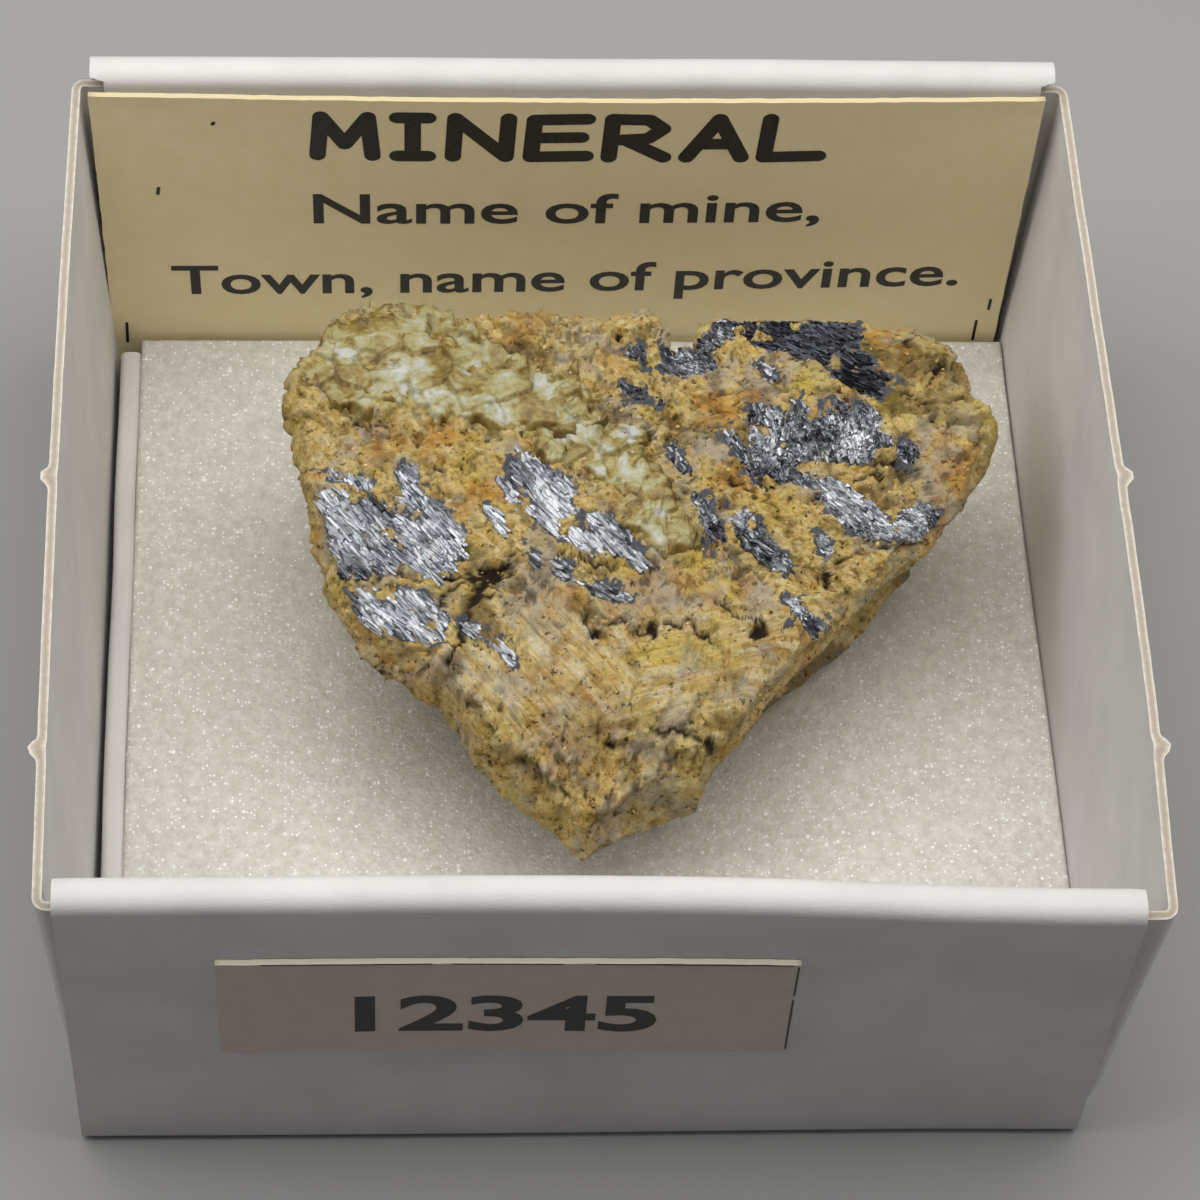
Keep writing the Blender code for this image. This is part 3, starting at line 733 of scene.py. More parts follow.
def round_strokes(strokes, radius):
    """Flat strokes with round ends: each is a closed sliver, 1 unit high, whose outline is two half circles
    about its ends. `strokes` has rows of x, y, x, y."""
    strokes = np.array(strokes, float)
    run = strokes[:, 2:] - strokes[:, :2]
    heading = np.arctan2(run[:, 1], run[:, 0])[:, None]
    around = np.concatenate([np.linspace(math.pi / 2, 3 * math.pi / 2, 9),
                             np.linspace(-math.pi / 2, math.pi / 2, 9)])
    at_end = (np.arange(18) >= 9)[None, :, None]
    middle = np.where(at_end, strokes[:, None, 2:], strokes[:, None, :2])
    outline = middle + radius * np.stack([np.cos(around + heading), np.sin(around + heading)], -1)
    count = len(strokes)
    points = np.concatenate([np.dstack([outline, np.full((count, 18), level)]) for level in (0.0, 1.0)], 1)
    place_in = np.arange(18)
    after = (place_in + 1) % 18
    walls = np.stack([place_in, after, after + 18, place_in + 18], -1)
    start = np.arange(count)[:, None, None] * 36
    faces = (walls + start).reshape(-1, 4).tolist()
    faces += (place_in[::-1] + start[:, 0]).tolist() + (place_in + 18 + start[:, 0]).tolist()
    return points.reshape(-1, 3), [tuple(face) for face in faces]


def heading(word, left, right, base, cap_height, radius):
    """A word in the round capitals, spread evenly from left to right; I is narrower than the others."""
    widths = np.array([0.62 if letter == "I" else 1.0 for letter in word])
    starts = np.r_[0, np.cumsum(widths + 0.42)[:-1]]
    scale = (right - left - 2 * radius) / (starts[-1] + widths[-1])
    tall = cap_height - 2 * radius
    strokes = [((starts[k] + x0 * widths[k]) * scale + left + radius, base + radius + y0 * tall,
                (starts[k] + x1 * widths[k]) * scale + left + radius, base + radius + y1 * tall)
               for k, letter in enumerate(word) for x0, y0, x1, y1 in HEADING[letter]]
    return round_strokes(strokes, radius)


def printed(name, lines, surface, material):
    """Lines of type carried onto a card: the flat outline's front stands off the paper by the ink."""
    all_points, all_faces, start = [], [], 0
    for points, faces in lines:
        lift = PAPER / 2 - 0.005 + points[:, 2] * (INK + 0.005)
        all_points.append(surface(points[:, 0], points[:, 1], lift))
        all_faces += [tuple(i + start for i in face) for face in faces]
        start += len(points)
    mesh = bpy.data.meshes.new(name)
    mesh.from_pydata(np.concatenate(all_points) * MM, [], all_faces)
    mesh.materials.append(material)
    work = bmesh.new()
    work.from_mesh(mesh)
    bmesh.ops.recalc_face_normals(work, faces=work.faces)
    work.to_mesh(mesh)
    work.free()
    made = bpy.data.objects.new(name, mesh)
    bpy.context.scene.collection.objects.link(made)
    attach(made, "root")
    return made


black_toner = toner()
name_print = printed("name_card_print", [
    heading("MINERAL", -11.2, 11.35, 14.87, 3.3, 0.36),
    flat_letters("Name of mine,", -11.1, 11.45, 10.45, 0.25, 2.2, 0.014),
    flat_letters("Town, name of province.", -17.6, 18.25, 5.2, 0.8, 2.2, 0.014),
    round_strokes([(-19.9, 1.6, -19.85, 3.0), (19.5, 1.9, 19.5, 3.3), (19.95, 4.2, 19.95, 4.9)], 0.07),
    round_strokes([(-15.3, 17.2, -15.25, 17.3), (-17.9, 12.4, -17.85, 12.8)], 0.08),
], on_name_card, black_toner)
edge_marks = [(-9.6, 7.46, -3.0, 7.46), (-2.2, 7.46, 2.1, 7.45), (3.4, 7.45, 11.1, 7.45),
              (11.33, 0.3, 11.33, 4.4),
              (11.33, 4.9, 11.33, 7.3)]
label_print = printed("number_label_print", [flat_letters("12345", -6.0, 6.0, 1.75, 0.0, 3.2, 0.028),
                                             round_strokes(edge_marks, 0.035)], on_label, black_toner)
print("print:", len(name_print.data.polygons), len(label_print.data.polygons))

# %% [markdown]
# ## The piece of vein rock
#
# The rock is a flat slab of broken vein, heart-shaped from above. It was prised off, so one face is a
# fresh break and the sides are rough and undercut. It could be a sculpted lump. Here it is two square
# grids, each bent to a disc, because a bent grid has no pole and its cells stay about 0.1 mm wide all
# over. One disc is the broken face, the other is the sides and the underside, and they share their rims.
#
# What grows where is given by strokes: each is a line on the face with a half-width. The distance to
# the nearest stroke, shaken by noise, makes patches with ragged edges.

# %% Where things are on the face, in millimetres

ROCK_CENTRE = np.array([2.5, 3.5])
ROCK_OUTLINE = np.array([            # x, y and the height of the widest line, anticlockwise from the tip
    (0.0, -12.3, 7.8), (1.3, -11.6, 8.0), (2.9, -10.8, 8.2), (4.8, -10.5, 8.8), (5.5, -9.4, 10.0),
    (6.5, -8.4, 11.0), (7.6, -6.8, 11.6), (9.1, -5.0, 12.0), (12.4, -1.8, 12.4), (15.0, 0.5, 12.4),
    (17.8, 4.7, 12.0), (18.3, 6.4, 12.0), (17.2, 8.3, 12.2), (17.1, 9.5, 12.4), (16.6, 10.3, 12.6),
    (15.3, 11.0, 12.8), (13.0, 11.5, 13.0), (9.8, 11.7, 13.4), (6.3, 11.8, 13.2), (5.4, 10.7, 12.9),
    (4.4, 9.5, 12.5),
    (3.8, 10.8, 13.0), (3.1, 12.0, 13.3), (1.5, 11.7, 13.2), (-2.8, 11.8, 13.2), (-6.3, 11.9, 13.2),
    (-7.9, 12.4, 13.2), (-9.8, 12.3, 12.8),
    (-11.0, 11.4, 12.4), (-11.4, 10.5, 12.2), (-12.4, 9.6, 11.8), (-12.7, 8.6, 11.6), (-12.1, 5.9, 11.8),
    (-11.6, 3.0, 12.0), (-10.8, -0.8, 12.0), (-9.5, -3.7, 11.6), (-7.6, -5.4, 11.2), (-6.0, -6.4, 10.8),
    (-4.3, -8.5, 10.0), (-2.4, -10.5, 8.8)])
ROCK_FOOT = np.array([(-180, 0.60), (-130, 0.58), (-95, 0.62), (-60, 0.72), (-20, 0.74), (20, 0.70),
                      (60, 0.80), (100, 0.84), (140, 0.70), (180, 0.60)])

# Each patch of stibnite: the node it stands for, the direction its blades run in degrees, and strokes
# of x, y, x, y, half-width.
PATCHES = {
    "left": ("stibnite_left", -49, [(-10.6, 1.6, -9.6, -0.8, 0.9), (-9.5, 1.3, -7.9, -0.7, 1.0),
                                    (-7.9, 0.9, -6.4, -0.6, 1.1), (-7.3, 3.5, -6.4, 1.2, 0.55),
                                    (-6.6, 1.7, -5.6, 0.1, 0.7), (-10.6, 3.4, -9.0, 3.1, 0.25)]),
    "left_low": ("stibnite_left_low", -49, [(-9.3, -2.6, -7.4, -3.9, 0.75), (-7.4, -2.5, -6.4, -3.8, 0.8),
                                            (-9.8, -2.2, -9.0, -3.0, 0.35), (-3.6, -4.8, -3.1, -5.9, 0.3),
                                            (-4.9, -4.1, -4.5, -4.2, 0.25)]),
    "centre": ("stibnite_centre", -49, [(-2.2, 3.7, -1.2, 2.3, 0.7), (-1.3, 3.0, 0.2, 0.9, 0.75),
                                        (-2.4, 2.3, -0.9, 0.8, 0.7), (0.1, 1.0, 1.2, 0.2, 0.75),
                                        (1.3, 0.1, 2.6, -0.7, 0.35), (-0.6, 0.3, 0.8, -0.2, 0.35),
                                        (-3.8, 1.6, -3.3, 0.8, 0.22)]),
    "strip": ("stibnite_centre_strip", -35, [(-1.9, -0.6, -0.9, -1.0, 0.32), (-0.9, -1.1, 0.5, -2.1, 0.36),
                                             (0.6, -2.2, 1.6, -2.6, 0.28)]),
    "top_middle": ("stibnite_top_middle", -25, [(2.4, 9.6, 3.6, 8.9, 0.45), (3.6, 9.0, 5.3, 9.0, 0.7),
                                                (2.1, 7.5, 3.7, 6.9, 0.28)]),
    "top_right": ("stibnite_top_right", -32, [(6.6, 11.0, 5.9, 10.2, 0.5), (7.9, 8.9, 8.4, 7.9, 0.35)]),
    "dull": ("stibnite_top_right", -25, [(6.7, 11.2, 8.6, 10.8, 0.6), (8.4, 10.6, 11.7, 10.5, 0.95),
                                         (9.6, 9.8, 12.0, 9.3, 0.75),
                                         (11.0, 8.9, 13.0, 7.6, 0.6)]),
    "right": ("stibnite_right", -82, [(8.3, 6.0, 8.4, 4.0, 0.85), (9.3, 6.3, 12.4, 5.9, 0.75),
                                      (9.6, 5.2, 12.6, 4.9, 0.8), (13.9, 4.6, 14.1, 4.6, 0.35)]),
    "right_low": ("stibnite_right_low", -42, [(9.6, 3.0, 11.0, 2.3, 0.45), (10.9, 2.4, 12.2, 1.1, 0.8)]),
    "right_tip": ("stibnite_right_tip", -30, [(13.3, 0.8, 14.6, 1.3, 0.5)]),
    "vein": ("stibnite_vein", -66, [(4.0, 4.7, 4.5, 3.5, 0.3), (5.0, 1.7, 5.7, 0.3, 0.36),
                                    (6.3, 5.2, 8.2, 2.3, 0.28)]),
    "lower_middle": ("stibnite_lower_middle", -49,
                     [(7.0, 1.1, 8.3, -1.0, 0.55), (10.1, 0.4, 10.2, -0.3, 0.28)]),
    "spot": ("stibnite_spot", -50, [(8.8, -3.1, 9.2, -3.9, 0.45)]),
}
QUARTZ_MASS = [(-10.2, 9.3, -8.0, 10.5, 1.8), (-7.5, 8.8, -4.5, 8.2, 1.7), (-11.4, 8.6, -9.6, 7.9, 0.95),
               (-8.8, 11.3, -6.4, 11.0, 1.0), (-6.0, 7.0, -4.6, 7.0, 1.2), (-3.2, 6.9, -0.6, 6.6, 1.5),
               (-5.0, 10.2, -3.2, 9.2, 0.7), (-9.8, 7.2, -7.0, 7.0, 0.9)]
QUARTZ_VEIN = [(-0.6, 5.4, 1.6, 4.3, 1.45), (1.4, 3.9, 2.6, 2.8, 1.4), (2.6, 2.6, 4.0, 0.2, 0.95)]
CRACKS = [(-10.5, -1.8, -5.0, -1.7, 0.05), (-5.0, -1.7, -2.7, -0.6, 0.12), (-3.9, -1.2, -4.3, -2.7, 0.2),
          (-4.2, -2.7, -5.8, -5.5, 0.1), (-6.2, -2.7, -4.6, -1.9, 0.08), (-0.9, -0.4, 1.4, -1.0, 0.05),
          (0.8, -3.7, 2.9, -4.3, 0.06), (2.9, -4.3, 4.6, -3.8, 0.05),
          (5.6, -2.9, 7.5, -4.5, 0.06), (2.5, -8.5, 6.1, -9.1, 0.06), (11.6, 3.4, 14.8, 3.8, 0.04),
          (10.5, -0.9, 12.8, -0.1, 0.04), (4.6, -3.8, 5.2, -4.9, 0.05), (-0.4, -2.4, 0.6, -4.6, 0.03),
          (6.6, 3.6, 8.4, 1.2, 0.03), (-9.8, 6.6, -7.9, 5.2, 0.03), (13.6, 7.6, 16.6, 7.1, 0.05)]
PITS = [(-3.9, -1.4, 0.32), (-4.0, -2.6, 0.16), (2.9, -4.3, 0.26), (5.1, -4.4, 0.2), (7.4, -4.4, 0.4),
        (0.5, -4.5, 0.22), (4.9, -8.8, 0.2), (1.0, -9.1, 0.16), (2.1, -10.6, 0.16), (-5.9, 3.4, 0.14),
        (-9.3, 5.8, 0.2), (-5.7, 5.9, 0.14), (0.4, -0.8, 0.10), (10.3, -1.8, 0.18), (6.3, 2.9, 0.18),
        (15.8, 8.7, 0.22), (-3.2, -1.3, 0.14), (14.6, 10.2, 0.15), (-0.6, 10.8, 0.14), (1.8, 10.6, 0.12)]
YELLOW = [(5.1, -2.1, 0.5), (4.9, -4.3, 0.6), (10.3, 8.0, 0.4), (4.5, -5.0, 0.8), (2.5, -5.5, 0.5),
          (4.4, -9.6, 0.7), (2.0, -8.1, 0.4), (12.9, 6.6, 0.3), (-10.9, 8.9, 0.6), (-2.0, -11.4, 0.6),
          (0.1, -12.0, 0.6), (4.6, -0.2, 0.6), (17.0, 7.0, 0.4)]
ORANGE = [(6.2, 6.6, 0.9), (13.6, 10.0, 0.7), (-2.7, -10.5, 0.7), (-0.7, -2.6, 0.5), (0.8, -6.9, 0.35),
          (-5.9, 5.0, 0.8), (-8.6, 4.6, 0.7), (16.3, 3.6, 0.8), (-4.6, 2.4, 0.5), (6.3, 3.0, 0.7)]
GREY = [(6.4, -1.7, 0.9), (-1.7, -8.6, 0.6), (-0.3, -8.8, 0.5), (3.9, -8.1, 0.7), (3.0, -2.5, 0.9),
        (6.4, -7.2, 0.6), (1.3, -7.9, 0.5), (16.3, 6.0, 0.8), (-0.3, -10.2, 0.4), (2.8, -10.4, 0.7),
        (5.7, 5.0, 0.5), (14.4, 3.2, 0.6), (0.5, 9.6, 0.8), (-9.3, 5.6, 0.5)]
SEAMS = [(-10.6, -1.9, -5.2, -1.75, 0.26), (-8.3, 3.2, -8.0, 1.9, 0.3), (6.0, 8.0, 9.2, 7.4, 0.3),
         (12.9, 3.7, 9.6, 3.6, 0.2)]
DARK = [(14.0, 8.4, 1.3), (15.6, 9.2, 1.0), (13.2, 9.6, 0.6), (15.3, 6.6, 0.8), (11.5, 2.9, 0.5),
        (13.8, 3.9, 0.6), (16.6, 8.6, 0.7), (7.0, 4.6, 0.5),
        (3.8, 5.8, 0.5), (-4.6, -3.6, 0.5), (0.2, -3.6, 0.5), (-5.6, -6.0, 0.5), (6.4, -9.0, 0.5),
        (-3.6, -9.8, 0.5),
        (-8.2, 4.4, 0.5), (5.5, 6.0, 0.4), (1.4, -11.0, 0.5), (-2.6, 9.4, 0.6)]
print(len(PATCHES), "patches of stibnite,", sum(len(p[2]) for p in PATCHES.values()), "strokes")

# %% From strokes to fields


def inside(points, strokes):
    """How far inside the nearest stroke each point is, in millimetres: half-width less distance. It is
    below 0 outside. A spot of x, y, radius counts as a stroke of no length."""
    strokes = np.array([s if len(s) == 5 else (s[0], s[1], s[0], s[1], s[2]) for s in strokes])
    flat = points[..., None, :2]
    start, run = strokes[:, :2], strokes[:, 2:4] - strokes[:, :2]
    along = ((flat - start) * run).sum(-1) / np.maximum((run ** 2).sum(-1), 1e-9)
    gap = np.linalg.norm(flat - start - np.clip(along, 0, 1)[..., None] * run, axis=-1)
    return (strokes[:, 4] - gap).max(-1)


def shaken(points, reach, wavelength, seed, direction=0.0, stretch=1.0):
    """The same points moved by noise in the plane, so that edges drawn with them are ragged. With a
    stretch, the noise is longer along a direction, so an edge that crosses it frays into splinters."""
    c, s = math.cos(math.radians(direction)), math.sin(math.radians(direction))
    along = points[..., 0] * c + points[..., 1] * s
    across = points[..., 1] * c - points[..., 0] * s
    spots = np.stack([along / stretch, across, 0 * along], -1)
    push = reach * stretch ** 0.5 * fractal(spots, wavelength, 3, seed)
    side = reach * fractal(spots, wavelength, 3, seed + 50)
    return points[..., :2] + np.stack([push * c - side * s, push * s + side * c], -1)


def patch_depth(points, direction, strokes):
    """How far inside a patch of stibnite each point is: its outline frays along the blades, ochre crosses
    it along the seams, and islands of ochre show through where a slow noise is high."""
    frayed = inside(shaken(points, 0.24, 0.7, 201, direction, 3.0), strokes)
    crossed = smoothstep(-0.2, 0.1, inside(shaken(points, 0.3, 0.6, 219), SEAMS))
    island = smoothstep(0.44, 0.72, fractal(points, 0.8, 4, 215, 0.6))
    return frayed - 1.2 * crossed - 0.8 * island


def fibres(points, direction, across, length, seed):
    """Ridges along a direction: 1 on a crest and 0 in a groove. They are `across` wide and `length` long."""
    c, s = math.cos(math.radians(direction)), math.sin(math.radians(direction))
    along = points[..., 0] * c + points[..., 1] * s
    aside = points[..., 1] * c - points[..., 0] * s
    spots = np.stack([along, aside + 0.15 * value_noise(points, 2.0, seed + 9), points[..., 2] * 0.5], -1)
    return 1 - np.abs(fractal(spots, np.array([length, across, 1.5]), 2, seed, 0.6))


print("strokes to fields: ready")

# %% The rock's smooth shape

GRID = 220
EDGE = 0.95                    # the broken face turns over into the sides within this width
FACE_SHARE = 0.88              # share of the disc's radius that the face takes, the rest is its edge
SIDE_SHARE = 0.62              # share of the other disc's radius that the sides take
ROCK_BED = FLOOR + 2.28        # the rock sinks a hair into the pad


def disc(count):
    """A square grid bent to a disc: the larger of the two coordinates is the ring, and the share of the
    smaller in it is the angle. Returns ring and angle for each point."""
    line = np.linspace(-1, 1, count)
    a, b = np.meshgrid(line, line)
    wide = np.abs(a) > np.abs(b)
    radius = np.where(wide, a, b)
    share = np.where(wide, b, a) / radius
    angle = np.where(wide, math.pi / 4 * share, math.pi / 2 - math.pi / 4 * share)
    return np.abs(radius), np.where(radius < 0, angle + math.pi, angle)


def face_level(y):
    """The broken face without relief: it rises gently to the back, and falls away towards the tip. The
    lower of the two planes, blended over about a millimetre."""
    back = 13.6 + 0.06 * y - 0.35 * smoothstep(9.0, 12.5, y)
    nose = 13.15 + 0.75 * (y + 7.5)
    return back - 0.5 * np.log1p(np.exp((back - nose) / 0.5))


ring_path = resample(np.concatenate([ROCK_OUTLINE, ROCK_OUTLINE[:1]]), 0.2)
ring_step = ring_path[:, :2] - ROCK_CENTRE
ring_angle = np.arctan2(ring_step[:, 1], ring_step[:, 0])
ring_radius = np.linalg.norm(ring_step, axis=1)


def rock_shape():
    """Both discs. The face is flat to its edge and turns over by a quarter ellipse down to the widest
    line. The sides go in from there to the foot, with a ledge low on the right front, and the underside
    is level. Returns the points of each, as grids."""
    ring, angle = disc(GRID)
    radius = np.interp(angle, *ordered(ring_angle, ring_radius), period=2 * math.pi)
    widest = np.interp(angle, *ordered(ring_angle, ring_path[:, 2]), period=2 * math.pi)
    foot = np.interp(np.degrees(angle), *ROCK_FOOT.T, period=360)
    way = np.stack([np.cos(angle), np.sin(angle)], -1)
    edge = EDGE * (1 + 0.4 * value_noise(np.stack([way[..., 0] * 9, way[..., 1] * 9, 0 * ring], -1), 2, 71))
    bend = np.clip((ring - FACE_SHARE) / (1 - FACE_SHARE), 0, 1) * math.pi / 2
    plan = ROCK_CENTRE + way * (np.minimum(ring / FACE_SHARE, 1) * (radius - edge) +
                                edge * np.sin(bend))[..., None]
    level = face_level(plan[..., 1])
    face = np.dstack([plan, level - (level - widest) * (1 - np.cos(bend))])
    down = np.clip((1 - ring) / SIDE_SHARE, 0, 1)
    right_front = np.exp(-((np.degrees(np.angle(np.exp(1j * (angle + math.radians(38))))) / 38) ** 2))
    taper = down ** 1.1 + right_front * (0.75 * smoothstep(0, 0.45, down) * (1 - down) -
                                         0.1 * smoothstep(0.5, 0.8, down))
    inward = np.minimum(ring / (1 - SIDE_SHARE), 1)
    side_plan = ROCK_CENTRE + way * (radius * (1 - (1 - foot) * taper) * inward)[..., None]
    side = np.dstack([side_plan, widest + (ROCK_BED - widest) * down])
    return face, side


def ordered(angles, values):
    """Two arrays sorted by the first, as interpolation needs."""
    order = np.argsort(angles)
    return angles[order], values[order]


face_grid, side_grid = rock_shape()
face_index = np.arange(GRID * GRID).reshape(GRID, GRID)
side_index = face_index + GRID * GRID
rim = np.ones((GRID, GRID), bool)
rim[1:-1, 1:-1] = False
side_index[rim] = face_index[rim]
used = np.r_[np.arange(GRID * GRID), side_index[~rim]]
renumber = np.full(2 * GRID * GRID, -1)
renumber[used] = np.arange(len(used))
corners = grid_quads(GRID, GRID)
rock_faces = [corners, renumber[side_index.ravel()[corners[:, ::-1]]]]
smooth_points = np.concatenate([face_grid.reshape(-1, 3), side_grid.reshape(-1, 3)])[used]


def unit(vectors):
    """Vectors scaled to length 1."""
    return vectors / np.maximum(np.linalg.norm(vectors, axis=-1, keepdims=True), 1e-12)


def point_normals(points, faces):
    """Each point's normal: the sum of its faces' normals, which are the cross products of their diagonals."""
    quads = np.concatenate(faces)
    across = np.cross(points[quads[:, 2]] - points[quads[:, 0]], points[quads[:, 3]] - points[quads[:, 1]])
    total = np.stack([np.bincount(quads.ravel(), np.repeat(across[:, k], 4), len(points)) for k in range(3)],
                     -1)
    return unit(total)


smooth_normals = point_normals(smooth_points, rock_faces)
print("rock:", len(smooth_points), "points, normal of the face points up:",
      smooth_normals[GRID * GRID // 2, 2] > 0)

# %% The rock's relief

upward = smoothstep(0.3, 0.7, smooth_normals[:, 2])
metal_depth = np.full(len(smooth_points), -9.0)
for label, (node, direction, strokes) in PATCHES.items():
    metal_depth = np.maximum(metal_depth, patch_depth(smooth_points, direction, strokes))
quartz_depth = inside(shaken(smooth_points, 0.4, 1.3, 207), QUARTZ_MASS + QUARTZ_VEIN)
metal = smoothstep(-0.12, 0.1, metal_depth) * upward
quartz = smoothstep(-0.3, 0.3, quartz_depth) * upward * (1 - metal)
nose = smoothstep(-1.5, -4.0, smooth_points[:, 1] + 0.4 * value_noise(smooth_points, 2, 77)) * upward
ragged = 0.5 * fractal(smooth_points, 0.9, 3, 79, 0.7)
plate_left = smooth_points[:, 0] - 0.35 * (smooth_points[:, 1] + 8) + 1.5 * ragged
plate_foot = smooth_points[:, 1] + 0.1 * smooth_points[:, 0] + 0.6 * ragged
plate = nose * smoothstep(0.8, 1.5, plate_left) * smoothstep(-8.9, -8.6, plate_foot)


def breaks(cellular, lift, tilt, factors):
    """Flat breaks, one for each cell of a cellular noise: each is raised by up to the lift and leans by up
    to the tilt. The sine of the cell's number times a large factor picks how much, for each of four."""
    _, _, way, number = cellular
    leans = np.sin(number[:, None] * np.array(factors[1:]))
    return lift * np.sin(number * factors[0]) + tilt * (way * leans).sum(-1)


def slow_lumps(at):
    """The broad swells of the broken face, in millimetres."""
    return 0.26 * value_noise(at, 4.6, 11) + 0.13 * value_noise(at, 2.0, 23)


def relief():
    """Height of the rock's surface off its smooth shape, in millimetres, and how much of it is a cavity.
    It adds large lumps, flat blocks and chips with a random tilt each, which end in steps, grain, pores,
    fibres where the vein is bladed, a raised plate on the nose, a ledge low on the right front, and pits."""
    at = smooth_points
    bent = at + 0.2 * value_noise(at[:, [1, 2, 0]], 1.1, 5)[:, None]
    blocks = breaks(cells(bent, 1.7, 301), 0.14, 0.16, (91, 259, 336, 413))
    chips = breaks(cells(at, 0.7, 311), 0.05, 0.16, (83, 31, 57, 79))
    chips = chips + breaks(cells(at, 0.34, 317), 0.02, 0.12, (83, 37, 53, 71))
    coarse = slow_lumps(at)
    grain = 0.06 * fractal(at, 0.3, 2, 37, 0.8)
    pores = smoothstep(0.2, 0.65, fractal(at, 0.5, 3, 43, 0.75))
    on_nose = 0.2 * fibres(at, -52, 0.8, 3.5, 61) + 0.05 * fibres(at, -50, 0.3, 2.0, 63)
    on_plate = 0.12 * fibres(at, 14, 0.6, 3.5, 67) + 0.03 * fibres(at, 10, 0.3, 2.0, 69) + 0.35
    fibrous = nose * (1 - plate) * smoothstep(-9.6, -7.8, at[:, 1]) * on_nose + plate * on_plate
    rough = (1 - 0.8 * metal) * (1 - 0.4 * nose * smoothstep(-9.6, -7.8, at[:, 1])) * upward
    holes = smoothstep(-0.32, 0.3, inside(shaken(at, 0.28, 0.7, 87), PITS)) * 0.4
    splits = smoothstep(-0.18, 0.10, inside(shaken(at, 0.32, 0.8, 89), CRACKS)) * 0.26
    deep = np.maximum(holes, splits) * upward
    front_right = smoothstep(0.2, 0.8, unit(at[:, :2] - ROCK_CENTRE) @ np.array([0.79, -0.61]))
    ledge = front_right * (1 - upward) * (0.65 * np.exp(-((at[:, 2] - 5.6) / 1.0) ** 2)
                                          - 0.35 * np.exp(-((at[:, 2] - 9.0) / 1.6) ** 2))
    sides = (1 - upward) * (1 - 0.6 * front_right) * \
        (0.3 * value_noise(at * np.array([1, 1, 1.8]), 2.4, 91) + 0.9 * blocks + 1.0 * chips + 1.0 * grain)
    total = coarse * (1 - 0.5 * metal) + rough * (blocks + chips + grain - 0.17 * pores)
    total = total + fibrous + sides + ledge - 0.12 * metal - 0.12 * quartz - deep
    return total, smoothstep(0.09, 0.24, deep), pores * rough, front_right * (1 - upward)


height, hollow_shade, porous, right_side = relief()
rock_points = smooth_points + smooth_normals * height[:, None]
rock_points[:, 2] = np.maximum(rock_points[:, 2], ROCK_BED)
rock_normals = point_normals(rock_points, rock_faces)
print("relief spans", np.round([height.min(), height.max()], 2), "mm; top at",
      round(float(rock_points[:, 2].max()), 2))

# %% What colours the rock


def patchy(spots, falloff, seed):
    """A field from 0 to 1 round some spots, broken up by noise."""
    cloud = fractal(smooth_points, 0.9, 4, seed, 0.65)
    return smoothstep(-falloff, falloff, inside(smooth_points, spots) + falloff * 1.6 * cloud) * upward


# Darker where the relief lies low: painted shade in the recesses, which joins the hollow shade below.
low = smoothstep(-0.12, -0.5, height - 0.3 * value_noise(smooth_points, 3, 19))
stain = smoothstep(-0.4, 0.2, metal_depth + 0.45 * fractal(smooth_points, 0.5, 4, 471, 0.75)) * upward
scattered = smoothstep(-0.1, 0.5, fractal(smooth_points, 1.8, 4, 475, 0.65))
ledge_metal = right_side * smoothstep(7.4, 6.0, smooth_points[:, 2]) * scattered
fields = {
    "metal": np.maximum(stain, 0.45 * ledge_metal),
    "quartz": quartz,
    "yellow": np.maximum(patchy(YELLOW, 0.6, 401),
                         0.6 * smoothstep(0.35, 0.9, fractal(smooth_points, 1.6, 4, 411, 0.65))),
    "orange": np.maximum(patchy(ORANGE, 0.6, 421),
                         0.6 * smoothstep(0.25, 0.8, fractal(smooth_points, 2.2, 4, 431, 0.7))),
    "grey": np.maximum(patchy(GREY, 0.6, 441),
                       0.9 * smoothstep(0.1, 0.7, fractal(smooth_points, 1.5, 4, 451, 0.7))),
    "dark": np.maximum(0.72 * patchy(DARK, 0.8, 461), 0.6 * ledge_metal),
    # Pits, cracks, pores and low spots turn near black in the rock's colour: painted shade in its recesses.
    "hollow_shade": np.clip(hollow_shade + 0.45 * porous + 0.25 * low, 0, 1),
}
bearing = np.radians(np.where(plate > 0.5, 12.0, np.where(smooth_points[:, 0] > 6, -35.0, -50.0)))
grain_uv = np.stack([smooth_points[:, 0] * np.cos(bearing) + smooth_points[:, 1] * np.sin(bearing),
                     smooth_points[:, 1] * np.cos(bearing) - smooth_points[:, 0] * np.sin(bearing) +
                     0.7 * smooth_points[:, 2] * (1 - upward)], -1)
side_of_six = smoothstep(5.2, 6.8, smooth_points[:, 0])
seam = np.maximum(4 * plate * (1 - plate), 4 * side_of_six * (1 - side_of_six))
streaky = nose * smoothstep(-9.6, -7.8, smooth_points[:, 1] + 0.8 * fractal(smooth_points, 1.6, 3, 485))
streaky = streaky * (0.7 + 0.3 * smoothstep(-0.2, 0.3, fractal(smooth_points, 1.8, 3, 487)))
fibrous = np.clip(0.22 + 0.75 * streaky + 0.2 * right_side - 0.2 * quartz, 0, 1)
fields["fibrous"] = fibrous * (1 - 0.7 * seam) * (1 - fields["hollow_shade"])
print({name: round(float(values.mean()), 3) for name, values in fields.items()})

# %% Rock materials


